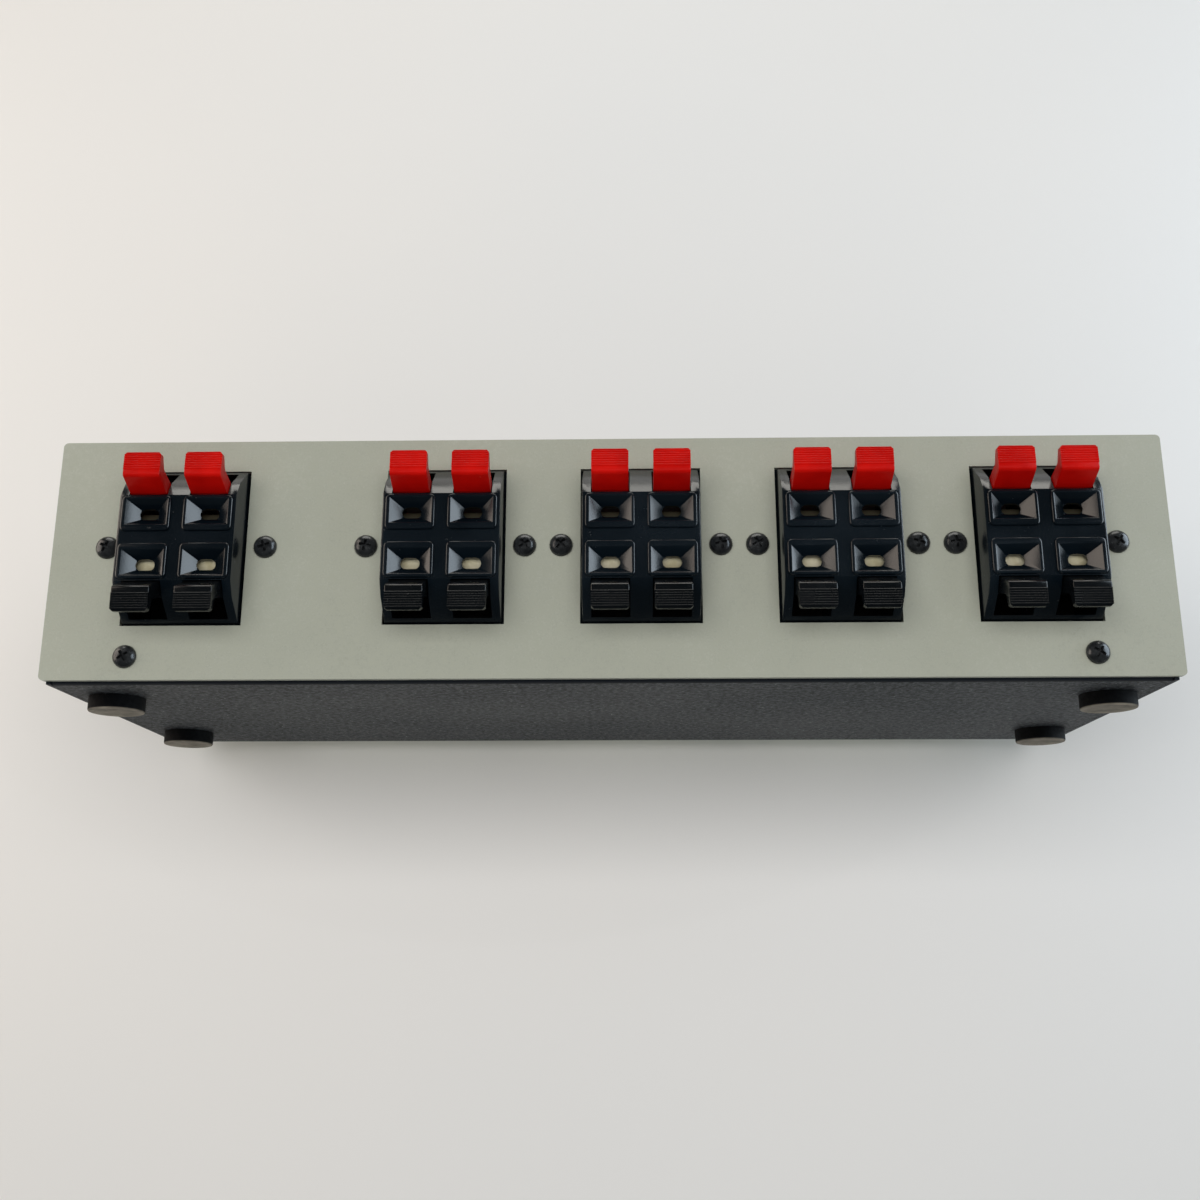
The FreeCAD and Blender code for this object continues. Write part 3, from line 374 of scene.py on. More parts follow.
def makeMetal(name, metal):
    material, place, shader = newFinish(name)
    cloud = place.noise(metal["cloud"], 3.0, 0.6)
    fine = place.noise(metalGrain["fine"], 2.0, 0.5)
    tone = cloud.spread(*toneSpan).mixShade(metal["low"], metal["high"])
    if "paintedShade" in metal:
        start = metal["paintedShadeFrom"] * mm       # painted shade: darker above this height, where the upper leaves lie in shade
        tone = place.part("Z").spread(start, start + metalGrain["paintedShadeBlend"] * mm).mixShade(tone, metal["paintedShade"])
    share = metalGrain["cloudShare"]
    setShader(place, shader, {
        "Base Color": tone,
        "Metallic": metal["metallic"],
        "Roughness": (cloud * share + fine * (1 - share)).wear(metal["roughness"], 0.07, 0.1),
        "Normal": fine.bump(metal["bump"], metalGrain["depth"]),
    })
    return material


def makeFootRubber():
    rubber = {
        "side": shade(5, 6, 8), "sole": shade(158, 150, 136), "soleDark": shade(124, 117, 106),
        "soleUp": (0.06, 0.4), "patch": 160, "patchFrom": 0.38, "patchTo": 0.62,
        "scuff": shade(205, 198, 186), "scuffs": 330, "scuffFrom": 0.66, "scuffTo": 0.74,
        "grain": 1100, "sheen": 0.2, "bump": 0.25, "bumpDepth": 0.1,
    }
    material, place, shader = newFinish("footRubber")
    grain = place.noise(rubber["grain"], 3.0, 0.65)
    patch = place.noise(rubber["patch"], 3.0, 0.6)
    sole = patch.spread(rubber["patchFrom"], rubber["patchTo"]).mixShade(rubber["soleDark"], rubber["sole"])
    scuff = place.noise(rubber["scuffs"], 4.0, 0.75).spread(rubber["scuffFrom"], rubber["scuffTo"])
    sole = scuff.mixShade(sole, rubber["scuff"])
    under = place.part("Z").spread(*[z * mm for z in rubber["soleUp"]], 1.0, 0.0)
    setShader(place, shader, {
        "Base Color": under.mixShade(rubber["side"], sole),
        "Roughness": grain.spread(*noiseSpan, 0.7, 0.9),
        "Normal": grain.bump(rubber["bump"], rubber["bumpDepth"]),
        "Specular IOR Level": rubber["sheen"],
    })
    return material


casePaint = makeCasePaint()
panelPaint = makePanelPaint()
blockPlastic = makePlastic("blueBlackPlastic", {
    "low": shade(6, 13, 19), "high": shade(12, 21, 28), "cloud": 60, "roughness": 0.22, "bump": 0.22,
    "dustFrom": 0.72, "dust": 0.14, "dustShade": shade(90, 90, 88)})
redPlastic = makePlastic("redLeverPlastic", {
    "low": shade(184, 8, 3), "high": shade(202, 12, 4), "cloud": 140, "roughness": 0.34, "bump": 0.05,
    "sheen": 0.12, "dustFrom": 0.74, "dust": 0.2, "dustShade": shade(225, 120, 100)})
blackPlastic = makePlastic("blackLeverPlastic", {
    "low": shade(7, 10, 13), "high": shade(12, 15, 18), "cloud": 140, "roughness": 0.24, "bump": 0.08,
    "sheen": 0.3, "dustFrom": 0.7, "dust": 0.2, "dustShade": shade(100, 98, 94)})
knobPlastic = makePlastic("knobPlastic", {
    "low": shade(22, 23, 25), "high": shade(30, 31, 33), "cloud": 90, "roughness": 0.4, "bump": 0.1,
    "dustFrom": 0.74, "dust": 0.2, "dustShade": shade(100, 98, 94)})
# the boards are coloured near black as painted shade, for the dark inside of the blocks seen through the slots
boardFibre = makePlastic("fibreBoardPaintedShade", {
    "low": shade(20, 18, 17), "high": shade(34, 30, 28), "cloud": 260, "roughness": 0.55, "bump": 0.12,
    "dustFrom": 0.75, "dust": 0.2, "dustShade": shade(90, 84, 76)})
wireSleeve = makePlastic("wireSleeve", {
    "low": shade(38, 38, 40), "high": shade(56, 56, 58), "cloud": 110, "roughness": 0.5, "bump": 0.15,
    "dustFrom": 0.75, "dust": 0.2, "dustShade": shade(110, 110, 108)})
blackScrew = makeMetal("blackenedScrew", {
    "low": shade(37, 39, 41), "high": shade(60, 62, 64), "cloud": 500,
    "metallic": 0.45, "roughness": 0.22, "bump": 0.16})
brassLook = {
    "low": shade(205, 195, 158), "high": shade(236, 228, 200), "cloud": 300,
    "metallic": 0.3, "roughness": 0.42, "bump": 0.1}
brass = makeMetal("contactBrass", brassLook)
# the upper leaves get a painted shade, darker above the blocks' middle
leafBrass = makeMetal("leafBrass", {**brassLook, "paintedShade": shade(62, 58, 46), "paintedShadeFrom": 35.4})
aluminium = makeMetal("turnedAluminium", {
    "low": shade(176, 178, 180), "high": shade(206, 208, 210), "cloud": 400,
    "metallic": 0.95, "roughness": 0.3, "bump": 0.08})
steel = makeMetal("platedSteel", {
    "low": shade(150, 150, 146), "high": shade(188, 188, 184), "cloud": 240,
    "metallic": 0.9, "roughness": 0.35, "bump": 0.1})
footRubber = makeFootRubber()
markInk = makePlastic("paleMarkInk", {
    "low": shade(228, 228, 222), "high": shade(238, 238, 232), "cloud": 200, "roughness": 0.5, "bump": 0.03,
    "dustFrom": 0.8, "dust": 0.1, "dustShade": shade(180, 180, 170)})
darkInk = makePlastic("darkMarkInk", {
    "low": shade(34, 35, 36), "high": shade(46, 47, 48), "cloud": 200, "roughness": 0.5, "bump": 0.03,
    "dustFrom": 0.8, "dust": 0.1, "dustShade": shade(90, 90, 90)})

for name, node in nodes.items():
    if name in ("base_chassis", "top_cover"):
        giveFinish(node, casePaint)
    elif name in ("rear_panel", "front_panel"):
        giveFinish(node, panelPaint)
    elif name.startswith("terminal_board") or name == "switch_wafers":
        giveFinish(node, boardFibre)
    elif name.startswith("terminal_contacts") or name == "switch_lugs":
        giveFinish(node, brass)
    elif name.startswith("switch_shaft"):
        giveFinish(node, aluminium)
    elif name in ("switch_bodies", "switch_nuts"):
        giveFinish(node, steel)
    elif name == "wiring_looms":
        giveFinish(node, wireSleeve)
print("finishes made")


# terminal blocks

terminalBlock = {
    "width": 27.0, "tail": -12.0,
    "skirt": (0.3, 18.3), "shoulder": (6.0, 13.75), "face": (8.1, 10.2),      # reach and half height
    "edge": 0.3,
    "frameTop": 8.7, "frameRoot": 0.5, "frameNear": 1.45, "frameFarX": 12.75, "frameFarZ": 9.9,
    "frameCorner": 1.1, "frameEdge": 0.3,
    "funnelMouth": (9.8, 6.2), "funnelFoot": (4.1, 2.3), "funnelBottom": 6.0,
    "throat": (4.4, 2.6), "mouthEdge": 0.16, "mouthSlack": 0.05,
    "cellZ": 6.05, "cellHalf": 4.45, "cellTop": 17.6, "cellWall": 1.5, "cellReach": 5.2,
    "pivotRise": 11.2, "pivotReach": 2.65, "pivotHalf": 0.65, "channelHalf": 12.7,
    "plateHalf": (22.0, 19.8), "plateReach": (-3.5, -1.5),
    "cutPast": 1.0, "funnelPast": 0.6,       # how far the cutters run past what they cut
}


def makeTerminalBlock():
    b = terminalBlock
    half = b["width"] / 2
    over = b["cutPast"]
    upper = [b["face"], b["shoulder"], b["skirt"], (b["tail"], b["skirt"][1])]
    outline = [(y, -z) for y, z in reversed(upper)] + upper
    block = drawLine("terminalBlock", [(-half, y, z) for y, z in outline])
    pullSolid(block, (b["width"], 0, 0))
    pickEdges(block, lambda a, c: min(a.y, c.y) > b["skirt"][0] - near and abs(a.x - c.x) < near, sharp=60)
    bevelPicked(b["edge"], 2)
    plateX, plateZ = b["plateHalf"]
    plate = boxPiece("plate", (-plateX, b["plateReach"][0], -plateZ), (plateX, b["plateReach"][1], plateZ))
    joinWith(block, plate, "UNION")
    for sideX in (-1, 1):                    # raised frames with rounded corners
        for sideZ in (-1, 1):
            xs = sorted((sideX * b["frameNear"], sideX * b["frameFarX"]))
            zs = sorted((sideZ * b["frameNear"], sideZ * b["frameFarZ"]))
            rim = boxPiece("rim", (xs[0], b["face"][0] - b["frameRoot"], zs[0]), (xs[1], b["frameTop"], zs[1]))
            pickEdges(rim, lambda a, c: abs(a.y - c.y) > 1)
            bevelPicked(b["frameCorner"], 4)
            pickEdges(rim, lambda a, c: min(a.y, c.y) > b["frameTop"] - near)
            bevelPicked(b["frameEdge"], 3)
            joinWith(block, rim, "UNION")
    for sideX in (-1, 1):
        low = sideX * layout["cellAcross"] - b["cellHalf"]
        for sideZ in (-1, 1):                # one cutter for the hollow behind the face and the lever's slot
            steps = [(b["tail"] - over, b["cellWall"]), (b["cellReach"], b["cellWall"]),
                     (b["cellReach"], b["face"][1]), (b["frameTop"] + over, b["face"][1]),
                     (b["frameTop"] + over, b["cellTop"]), (b["tail"] - over, b["cellTop"])]
            cell = drawLine("cell", [(low, y, sideZ * z) for y, z in steps])
            pullSolid(cell, (2 * b["cellHalf"], 0, 0))
            joinWith(block, cell, "DIFFERENCE")
    for sideX in (-1, 1):
        for sideZ in (-1, 1):
            makeFunnel(block, sideX * layout["cellAcross"], sideZ * b["cellZ"])
    for sideZ in (-1, 1):
        zs = sorted((sideZ * (b["pivotRise"] - b["pivotHalf"]), sideZ * (b["pivotRise"] + b["pivotHalf"])))
        channel = boxPiece("channel", (-b["channelHalf"], b["tail"] - over, zs[0]),
                           (b["channelHalf"], b["pivotReach"], zs[1]))
        joinWith(block, channel, "DIFFERENCE")
    reachX, reachZ = [size / 2 + b["mouthSlack"] for size in b["funnelMouth"]]

    def onMouth(point):
        return (abs(point.y - b["frameTop"]) < 2 * near and abs(abs(point.x) - layout["cellAcross"]) < reachX
                and abs(abs(point.z) - b["cellZ"]) < reachZ)

    pickEdges(block, lambda a, c: onMouth(a) and onMouth(c), sharp=20)
    bevelPicked(b["mouthEdge"], 2)
    faceOut(block)
    return block


def makeFunnel(block, across, up):
    b = terminalBlock
    over = b["funnelPast"]
    slope = (b["frameTop"] + over - b["funnelBottom"]) / (b["frameTop"] - b["funnelBottom"])
    foot = b["funnelFoot"]
    mouth = [foot[i] + (b["funnelMouth"][i] - foot[i]) * slope for i in (0, 1)]
    cutter = boxPiece("funnel", (across - foot[0] / 2, b["funnelBottom"], up - foot[1] / 2),
                      (across + foot[0] / 2, b["frameTop"] + over, up + foot[1] / 2))
    pickFaces(cutter, lambda middle, normal: normal.y > 0.9)
    bpy.ops.transform.resize(value=(mouth[0] / foot[0], 1, mouth[1] / foot[1]),
                             center_override=(across * mm, 0, up * mm))
    bpy.ops.object.mode_set(mode="OBJECT")
    joinWith(block, cutter, "DIFFERENCE")
    wide, tall = b["throat"]
    throat = boxPiece("throat", (across - wide / 2, b["cellReach"] - over, up - tall / 2),
                      (across + wide / 2, b["funnelBottom"] + over, up + tall / 2))
    pickEdges(throat, lambda a, c: abs(a.y - c.y) > 0.5)
    bevelPicked(tall / 2 - 2 * near, 6)
    joinWith(block, throat, "DIFFERENCE")


blockMaster = makeTerminalBlock()
softShade(blockMaster, 30)
giveFinish(blockMaster, blockPlastic)
for count, across in enumerate(layout["blockAcross"], start=1):
    block = copyTo(blockMaster, "terminalBlock_%d" % count,
                   (across, layout["panelFace"], layout["blockMiddle"]))
    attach(block, "case")
    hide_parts("terminal_housing_%d" % count)
bpy.data.objects.remove(blockMaster, do_unlink=True)
print("terminal blocks made")


# push levers

pushLever = {
    "half": 4.2, "tip": (13.5, 18.7), "knee": (13.7, 13.3), "tipRound": (0.25, 0.2),
    "front": [(2.8, 9.6), (4.9, 10.5), (8.3, 10.5), (10.9, 11.75), (12.9, 12.6), (13.5, 12.95), (13.7, 13.45)],
    "back": [(12.1, 18.62), (11.9, 18.45), (10.75, 15.6), (10.4, 15.1), (6.0, 13.7), (2.0, 12.8), (0.4, 12.0),
             (-3.6, 12.0), (-3.6, 10.4), (0.4, 10.4), (1.2, 9.6)],
    "ribs": 7, "ribPitch": 0.56, "ribDepth": 0.17, "ribFrom": 0.35, "padFrom": 13.2,
    "ribShape": [(0.0, 1.0), (0.22, 0.25), (0.5, 0.0), (0.78, 0.25)],        # share of the pitch, of the depth
    "sideEdge": 0.22, "sideFrom": 7.9, "tipCorner": 0.6,
    "stub": 0.55, "stubRoot": 0.3, "stubHalf": 5.55, "pivot": (2.0, 11.2),
}


def makeLever():
    v = pushLever
    tipY, tipZ = v["tip"]
    kneeY, kneeZ = v["knee"]
    lean = (kneeY - tipY) / (tipZ - kneeZ)
    outline = list(v["front"])
    bottom = tipZ - v["ribFrom"] - v["ribs"] * v["ribPitch"]
    for rib in range(v["ribs"]):
        foot = bottom + rib * v["ribPitch"]
        for share, depth in v["ribShape"]:
            rise = foot + share * v["ribPitch"]
            outline.append((tipY + (tipZ - rise) * lean - depth * v["ribDepth"], rise))
    outline += [(tipY + v["ribFrom"] * lean - v["ribDepth"], tipZ - v["ribFrom"]),
                (tipY, tipZ - v["tipRound"][1]), (tipY - v["tipRound"][0], tipZ)] + v["back"]
    lever = drawLine("lever", [(-v["half"], y, z) for y, z in outline])
    pullSolid(lever, (2 * v["half"], 0, 0))
    for side in (-1, 1):                     # the tip's two corners are cut off
        takeUp(lever)
        bpy.ops.object.mode_set(mode="EDIT")
        bpy.ops.mesh.select_all(action="SELECT")
        spot = (side * v["half"] * mm, 0, (tipZ - v["tipCorner"]) * mm)
        bpy.ops.mesh.bisect(plane_co=spot, plane_no=(side, 0, 1), use_fill=True, clear_outer=True)
        bpy.ops.object.mode_set(mode="OBJECT")
    faceOut(lever)
    topRib = tipZ - v["ribFrom"]

    def onSide(a, c):                        # the arm's long side edges, and not the ribs' ends
        low, high = min(a.z, c.z), max(a.z, c.z)
        ribbed = min(a.y, c.y) > v["padFrom"] and bottom - 5 * near < low and high < topRib + 5 * near
        level = abs(abs(a.x) - v["half"]) < near and abs(a.x - c.x) < near
        return level and min(a.y, c.y) > v["sideFrom"] and not ribbed

    pickEdges(lever, onSide, sharp=60)
    bevelPicked(v["sideEdge"], 2)
    stubs = [addStub(side) for side in (-1, 1)]
    return mergeAs("lever", [lever] + stubs)


def addStub(side):       # the short pin at one side, which turns in the block
    v = pushLever
    low, high = v["half"] - v["stubRoot"], v["stubHalf"]
    pivotY, pivotZ = v["pivot"]
    clearPick()
    bpy.ops.mesh.primitive_cylinder_add(vertices=20, radius=v["stub"] * mm, depth=(high - low) * mm,
                                        location=(side * (low + high) / 2 * mm, pivotY * mm, pivotZ * mm),
                                        rotation=(0, math.radians(90), 0))
    stub = bpy.context.object
    stub.name = "stub"
    settle(stub)
    pickEdges(stub, lambda a, c: abs(abs(a.x) - high) < near and abs(abs(c.x) - high) < near)
    bevelPicked(v["stub"] / 5, 2)
    return stub


leverMaster = makeLever()
softShade(leverMaster, 38)
halfTurn = (0, math.radians(180), 0)         # the lower row is the upper one turned about
for count, across in enumerate(layout["blockAcross"], start=1):
    for hand, side in (("a", 1), ("b", -1)):
        place = (across + side * layout["cellAcross"], layout["panelFace"], layout["blockMiddle"])
        for colour, plastic, turn in (("red", redPlastic, None), ("black", blackPlastic, halfTurn)):
            name = "%s_%d%s" % (colour, count, hand)
            lever = copyTo(leverMaster, "pushLever_" + name, place, turn)
            giveFinish(lever, plastic)
            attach(lever, "lever_" + name)
            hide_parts("lever_" + name)
            "lever_" + colour
bpy.data.objects.remove(leverMaster, do_unlink=True)
print("push levers made")


# leaf contacts

leafContact = {
    "half": 3.2, "edge": 0.06,
    "outer": [(-18.2, 1.8), (4.3, 1.8), (4.62, 2.0), (4.7, 2.5), (4.55, 4.2), (4.1, 5.8), (3.1, 7.0),
              (0.5, 7.9), (-3.3, 8.2)],
    "inner": [(-3.34, 7.8), (0.45, 7.5), (2.8, 6.68), (3.72, 5.6), (4.15, 4.1), (4.3, 2.6), (4.1, 2.2),
              (-18.2, 2.2)],
}


def makeLeaf():
    half = leafContact["half"]
    leaf = drawLine("leaf", [(-half, y, z) for y, z in leafContact["outer"] + leafContact["inner"]])
    pullSolid(leaf, (2 * half, 0, 0))
    pickEdges(leaf, lambda a, c: abs(a.x - c.x) < near, sharp=60)
    bevelPicked(leafContact["edge"], 1)
    softShade(leaf, 30)
    giveFinish(leaf, leafBrass)
    return leaf


leafMaster = makeLeaf()
for count, across in enumerate(layout["blockAcross"], start=1):
    leaves = []
    for side in (-1, 1):
        for turn in (None, halfTurn):
            place = (across + side * layout["cellAcross"], layout["panelFace"], layout["blockMiddle"])
            leaves.append(copyTo(leafMaster, "leaf%d" % len(leaves), place, turn))
    contacts = mergeAs("leafContacts_%d" % count, leaves)
    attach(contacts, "case")
    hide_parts("terminal_contacts_%d" % count)
bpy.data.objects.remove(leafMaster, do_unlink=True)
print("leaf contacts made")


# screws

crossScrew = {
    "dome": [(0, 1.84), (0.7, 1.81), (1.35, 1.68), (1.95, 1.42), (2.4, 1.02), (2.66, 0.55), (2.72, 0.12),
             (2.66, 0.0)],
    "shank": 1.42, "point": 0.6, "pointShare": 0.6, "steps": 36,
    "crossLength": 3.5, "crossWidth": 0.78, "crossDepth": 1.15, "crossTaper": 0.55,
}


def makeScrew(length):
    s = crossScrew
    shank = [(s["shank"], 0), (s["shank"], s["point"] - length), (s["shank"] * s["pointShare"], -length),
             (0, -length)]
    screw = drawLine("screw", [(r, y, 0) for r, y in s["dome"] + shank], closed=False)
    spinSolid(screw, (0, 1, 0), s["steps"])
    top = s["dome"][0][1]
    for turn in (0, 90):                     # the cross recess, narrower at its bottom
        wing = boxPiece("wing", (-s["crossLength"] / 2, top - s["crossDepth"], -s["crossWidth"] / 2),
                        (s["crossLength"] / 2, top + 0.5, s["crossWidth"] / 2))
        pickFaces(wing, lambda middle, normal: normal.y < -0.9)
        bpy.ops.transform.resize(value=(s["crossTaper"], 1, s["crossTaper"]), center_override=(0, 0, 0))
        bpy.ops.object.mode_set(mode="OBJECT")
        wing.rotation_euler = (0, math.radians(turn), 0)
        settle(wing)
        joinWith(screw, wing, "DIFFERENCE")
    softShade(screw, 35)
    giveFinish(screw, blackScrew)
    return screw


def placeScrews(name, node, length, places):     # each place: position, turn round Z, turn of the cross
    master = makeScrew(length)
    copies = []
    for index, (spot, aside, cross) in enumerate(places):
        twin = copyTo(master, "%s%d" % (name, index), (0, 0, 0), (0, math.radians(cross), 0))
        twin.rotation_euler = (0, 0, math.radians(aside))
        twin.location = [c * mm for c in spot]
        settle(twin)
        copies.append(twin)
    bpy.data.objects.remove(master, do_unlink=True)
    whole = mergeAs(name, copies)
    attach(whole, "case")
    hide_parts(node)


screwPlaces = {
    "blockAcross": 18.525, "blockLength": 5.0,
    "blockTurns": [20, 62, 35, 80, 12, 48, 70, 28, 55, 5],       # how each cross happens to stand
    "panelAcross": 110.5, "panelUp": 9.57, "panelLength": 6.0, "panelTurn": 33,
    "sideAcross": 128.7, "sideBehind": 15, "sidePitch": 60, "sideUp": 10.0, "sideLength": 6.0,
    "sideTurn": 25, "sideTurnStep": 40,
}


def placeAllScrews():
    p = screwPlaces
    face = layout["panelFace"]
    blockSpots = []
    for across in layout["blockAcross"]:
        for side in (-1, 1):
            turn = p["blockTurns"][len(blockSpots)]
            blockSpots.append(((across + side * p["blockAcross"], face, layout["blockMiddle"]), 0, turn))
    panelSpots = [((side * p["panelAcross"], face, p["panelUp"]), 0, p["panelTurn"] * side) for side in (-1, 1)]
    sideSpots = []
    for side in (-1, 1):
        for row in (0, 1):
            spot = (side * p["sideAcross"], face - p["sideBehind"] - p["sidePitch"] * row, p["sideUp"])
            sideSpots.append((spot, -90 * side, p["sideTurn"] + p["sideTurnStep"] * row))
    placeScrews("terminalScrews", "terminal_screws", p["blockLength"], blockSpots)
    placeScrews("rearPanelScrews", "rear_panel_screws", p["panelLength"], panelSpots)
    placeScrews("coverScrews", "cover_screws", p["sideLength"], sideSpots)


placeAllScrews()
print("screws made")


# feet

rubberFoot = {
    "profile": [(0, 0.12), (4.9, 0.1), (5.7, 0.03), (6.15, 0.0), (6.45, 0.1), (6.58, 0.4), (6.6, 0.9),
                (6.6, 3.5), (0, 3.5)],
    "steps": 64, "across": 118.8, "behind": (18.9, 71.6),
}
footProfile = [(r, 0, z) for r, z in rubberFoot["profile"]]
footMaster = drawLine("foot", footProfile, closed=False)
spinSolid(footMaster, (0, 0, 1), rubberFoot["steps"])
softShade(footMaster, 40)
giveFinish(footMaster, footRubber)
feet = []
for side in (-1, 1):
    for behind in rubberFoot["behind"]:
        feet.append(copyTo(footMaster, "foot%d" % len(feet),
                           (side * rubberFoot["across"], layout["panelFace"] - behind, 0)))
bpy.data.objects.remove(footMaster, do_unlink=True)
rubberFeet = mergeAs("rubberFeet", feet)
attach(rubberFeet, "case")
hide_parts("feet")
print("feet made")


# knobs

turnKnob = {
    "profile": [(0, -57.0), (3.02, -57.0), (3.02, -49.9), (7.4, -49.9), (7.4, -45.9), (10.4, -45.87),
                (10.8, -46.1), (10.95, -46.6), (10.95, -48.4), (10.3, -49.0), (10.3, -60.2), (10.15, -61.0),
                (9.6, -61.6), (8.9, -61.82), (8.2, -61.5), (0, -61.5)],
    "steps": 96, "flute": 0.955, "fluteFrom": -60.9, "fluteTo": -49.2, "fluteEvery": 4, "gripRadius": 10,
    "pointer": (0.45, 5.2, 10.2),            # half width, from, to
    "grooveReach": (-63, -61.2), "groovePast": 2,
    "pointerReach": (-61.44, -61.1), "pointerShort": 0.2, "pointerEdge": 0.15,
    "restAngle": 30.0,                       # the pointer's lean to the left of upright at rest
}


def makeKnob():
    k = turnKnob
    knob = drawLine("knob", [(r, y, 0) for r, y in k["profile"]], closed=False)
    spinSolid(knob, (0, 1, 0), k["steps"])
    takeUp(knob)
    bpy.ops.object.mode_set(mode="EDIT")
    bpy.ops.mesh.select_mode(type="VERT")
    bpy.ops.mesh.select_all(action="DESELECT")
    bpy.ops.object.mode_set(mode="OBJECT")
    pitch = math.radians(360) / k["steps"]
    for point in knob.data.vertices:         # some lines of the grip go in, for the flutes
        spot = point.co / mm
        line = round(math.atan2(spot.z, spot.x) / pitch)
        onGrip = k["fluteFrom"] < spot.y < k["fluteTo"] and math.hypot(spot.x, spot.z) > k["gripRadius"]
        point.select = line % k["fluteEvery"] == 0 and onGrip
    bpy.ops.object.mode_set(mode="EDIT")
    bpy.ops.transform.resize(value=(k["flute"], 1, k["flute"]), center_override=(0, 0, 0))
    bpy.ops.object.mode_set(mode="OBJECT")
    half, start, end = k["pointer"]
    front, back = k["grooveReach"]
    groove = boxPiece("groove", (-half, front, start), (half, back, end + k["groovePast"]))
    joinWith(knob, groove, "DIFFERENCE")
    softShade(knob, 30)
    return knob


def makePointer():
    k = turnKnob
    half, start, end = k["pointer"]
    front, back = k["pointerReach"]
    bar = boxPiece("pointer", (-half, front, start), (half, back, end - k["pointerShort"]))
    pickEdges(bar, lambda a, c: abs(a.y - c.y) > 0.1)
    bevelPicked(k["pointerEdge"], 2)
    softShade(bar, 40)
    return bar


knobMaster = makeKnob()
pointerMaster = makePointer()
giveFinish(knobMaster, knobPlastic)
giveFinish(pointerMaster, markInk)
lean = (0, -math.radians(turnKnob["restAngle"]), 0)
for count, across in enumerate(layout["knobAcross"], start=1):
    spot = (across, 0, layout["panelMiddle"])
    knob = copyTo(knobMaster, "turnKnob_%d" % count, spot, lean)
    pointer = copyTo(pointerMaster, "knobPointer_%d" % count, spot, lean)
    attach(knob, "dial_%d" % count)
    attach(pointer, "dial_%d" % count)
    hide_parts("knob_%d" % count)
bpy.data.objects.remove(knobMaster, do_unlink=True)
bpy.data.objects.remove(pointerMaster, do_unlink=True)
print("knobs made")


# marks on the front plate

frontMarks = {
    "numberSize": 6.0, "numberUp": 19.9, "tickFrom": 12.6, "tickTo": 15.0, "tickHalf": 0.3, "tickAngle": 30,
    "thick": 0.03,
}


def makeFrontMarks():
    m = frontMarks
    marks = []
    face = layout["plateFace"]
    for count, across in enumerate(layout["knobAcross"], start=1):
        number = len(layout["knobAcross"]) + 1 - count       # numbers run from the left, seen from the front
        clearPick()
        bpy.ops.object.text_add(location=(0, 0, 0), rotation=(math.radians(90), 0, 0))
        figure = bpy.context.object
        figure.data.body = str(number)
        figure.data.size = m["numberSize"] * mm
        figure.data.align_x = "CENTER"
        figure.data.align_y = "CENTER"
        figure.data.extrude = m["thick"] / 2 * mm
        takeUp(figure)
        bpy.ops.object.convert(target="MESH")
        figure = bpy.context.object
        up = layout["panelMiddle"] + m["numberUp"]
        figure.location = (across * mm, (face - m["thick"] / 2) * mm, up * mm)
        settle(figure)
        marks.append(figure)
        for angle in (-m["tickAngle"], m["tickAngle"]):
            tick = boxPiece("tick", (-m["tickHalf"], -m["thick"], m["tickFrom"]),
                            (m["tickHalf"], 0, m["tickTo"]))
            tick.rotation_euler = (0, math.radians(angle), 0)
            tick.location = (across * mm, face * mm, layout["panelMiddle"] * mm)
            settle(tick)
            marks.append(tick)
    whole = mergeAs("frontMarks", marks)
    giveFinish(whole, darkInk)
    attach(whole, "case")


makeFrontMarks()
print("front marks made")


# table, floor, light and camera

studio = {
    # the table's warm and cool tones are painted light, warmer towards +X and cooler towards -X, and its low
    # tone is painted shade towards the bottom
    "tableWarmLight": shade(247, 241, 235), "tableCoolLight": shade(239, 241, 243), "tablePaintedShade": shade(150, 150, 151),
    "tableReach": -62.2, "tableFade": (1.4, 2.4),
    "floor": shade(206, 206, 205), "floorUp": -0.3, "floorFade": (0.45, 1.1),
    "sheetSize": 6, "sheetRoughness": 0.45, "clouds": 3.0, "cloudTone": 0.15, "cloudLow": 0.3,
    "warmLightSpan": (-0.35, 0.35), "paintedShadeSpan": (-0.2, 0.22), "paintedShadeTone": 0.2,      # spans in m
    "world": shade(236, 236, 238), "worldTint": shade(226, 236, 236), "worldLevel": 0.23,
    "mirroredLevel": 0.05, "lampAim": (0, 0, 0.03),
    "lamps": [       # place in m, width, height, power, colour, lights the object, shows in reflections
        ((0.1, 1.35, 0.15), 1.7, 0.65, 15.0, (1.0, 0.985, 0.97), True, False),
        ((-0.9, 0.3, 0.1), 0.7, 0.8, 1.4, (0.84, 0.92, 1.0), True, False),
        ((0.9, 0.3, 0.1), 0.7, 0.8, 1.2, (1.0, 0.88, 0.76), True, False),
        ((-0.9, 0.27, 0.3), 0.95, 0.95, 17.0, (0.78, 0.9, 1.0), False, True),
        ((0.9, 0.27, 0.3), 0.95, 0.95, 9.0, (1.0, 0.86, 0.74), False, True),
        ((0.0, 0.25, 1.1), 1.1, 0.5, 7.5, (1.0, 0.97, 0.9), False, True),
        ((0.0, 1.1, -0.75), 1.0, 0.5, 0.4, (1.0, 0.97, 0.94), True, False),
        ((0.1, -0.9, 0.6), 0.9, 0.7, 7.0, (1.0, 1.0, 1.0), True, True),
    ],
}


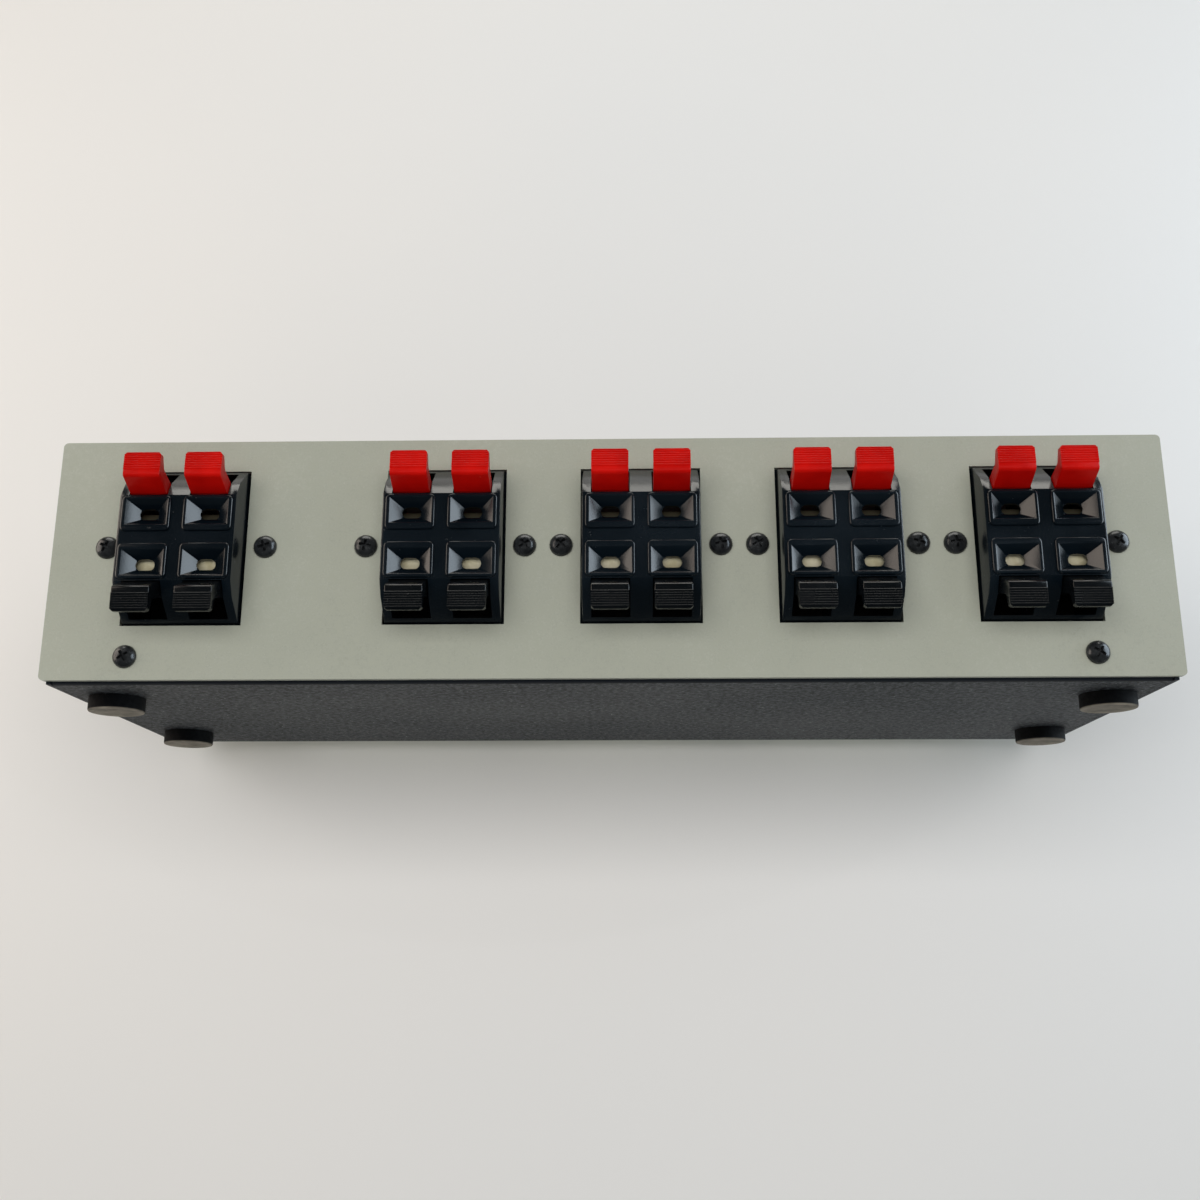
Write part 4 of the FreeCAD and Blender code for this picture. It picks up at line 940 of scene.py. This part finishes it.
def makePlane(name, location, rotation, warmLight, coolLight, fade):       # seen from its outer side, up to its fade
    t = studio
    clearPick()
    bpy.ops.mesh.primitive_plane_add(size=t["sheetSize"], location=location, rotation=rotation)
    sheet = bpy.context.object
    sheet.name = name
    settle(sheet)
    material, place, shader = newFinish(name + "Finish")
    across, deep, up = [place.part(letter) for letter in "XYZ"]
    clouds = place.noise(t["clouds"], 3.0, 0.5).spread(*noiseSpan, -t["cloudTone"], t["cloudTone"])
    # painted light: warmer towards +X, cooler towards -X; painted shade: darker towards the bottom
    along = across.spread(*t["warmLightSpan"]) + clouds
    paintedShadeShare = (up + clouds * t["cloudLow"]).spread(*t["paintedShadeSpan"], t["paintedShadeTone"], 0.0)
    tone = paintedShadeShare.mixShade(along.mixShade(coolLight, warmLight), t["tablePaintedShade"])
    setShader(place, shader, {"Base Color": tone, "Roughness": t["sheetRoughness"]})
    behind = place.node("ShaderNodeNewGeometry", give="Backfacing")
    away = across * across + deep * deep + up * up
    hidden = place.math("MAXIMUM", behind, away.spread(fade[0] ** 2, fade[1] ** 2))
    clear = place.node("ShaderNodeBsdfTransparent")
    paint = Wire(place.tree, shader.outputs[0])
    both = place.node("ShaderNodeMixShader", None, {0: hidden, 1: paint, 2: clear})
    place.feed(material.node_tree.nodes["Material Output"].inputs[0], both)
    giveFinish(sheet, material)
    sheet.visible_shadow = False
    return sheet


makePlane("tableTop", (0, studio["tableReach"] * mm, 0), (math.radians(-90), 0, 0),      # what it stands on
          studio["tableWarmLight"], studio["tableCoolLight"], studio["tableFade"])
studioFloor = makePlane("studioFloor", (0, 0, studio["floorUp"] * mm), (0, 0, 0),
                        studio["floor"], studio["floor"], studio["floorFade"])
studioFloor.visible_diffuse = False          # it shows under the object from above, and doesn't light it
studioFloor.visible_glossy = False
studioFloor.visible_transmission = False

world = bpy.data.worlds.new("paleRoom")
bpy.context.scene.world = world
world.use_nodes = True
room = world.node_tree
rays = room.nodes.new("ShaderNodeLightPath")
cameraRay = Wire(room, rays.outputs["Is Camera Ray"])
glossyRay = Wire(room, rays.outputs["Is Glossy Ray"])
sky = room.nodes["Background"]
sky.inputs[0].default_value = studio["worldTint"]
glossyRay.feed(sky.inputs[1], glossyRay.spread(0.0, 1.0, studio["worldLevel"], studio["mirroredLevel"]))
seen = cameraRay.node("ShaderNodeBackground", None, {0: studio["world"], 1: 1.0})
both = cameraRay.node("ShaderNodeMixShader", None, {0: cameraRay, 1: Wire(room, sky.outputs[0]), 2: seen})
cameraRay.feed(room.nodes["World Output"].inputs[0], both)

for index, (place, width, height, power, tint, lights, mirrored) in enumerate(studio["lamps"]):
    clearPick()
    bpy.ops.object.light_add(type="AREA", location=place)
    lamp = bpy.context.object
    lamp.name = "softLamp%d" % index
    lamp.data.shape = "RECTANGLE"
    lamp.data.size = width
    lamp.data.size_y = height
    lamp.data.energy = power
    lamp.data.color = tint
    lamp.visible_diffuse = lights
    lamp.visible_glossy = mirrored
    lamp.rotation_mode = "QUATERNION"
    aim = Vector(studio["lampAim"]) - Vector(place)
    lamp.rotation_quaternion = aim.to_track_quat("-Z", "Y")

photoCamera = {
    "place": (-4.4, 334.35, -53.53), "right": (-0.9998, -0.0213, 0.0001),
    "up": (-0.0053, 0.2564, 0.9666), "ahead": (0.0206, -0.9663, 0.2564),
    "lens": 38.69, "sensor": 36, "clip": (0.01, 20),
}
clearPick()
bpy.ops.object.camera_add()
camera = bpy.context.object
camera.name = "photoCamera"
columns = [Vector(photoCamera["right"]), Vector(photoCamera["up"]), -Vector(photoCamera["ahead"])]
turned = Matrix(columns).transposed().to_4x4()
camera.matrix_world = Matrix.Translation(Vector(photoCamera["place"]) * mm) @ turned
camera.data.lens = photoCamera["lens"]
camera.data.sensor_width = photoCamera["sensor"]
camera.data.clip_start, camera.data.clip_end = photoCamera["clip"]
bpy.context.scene.camera = camera
bpy.context.scene.view_settings.view_transform = "Standard"
print("stage made")
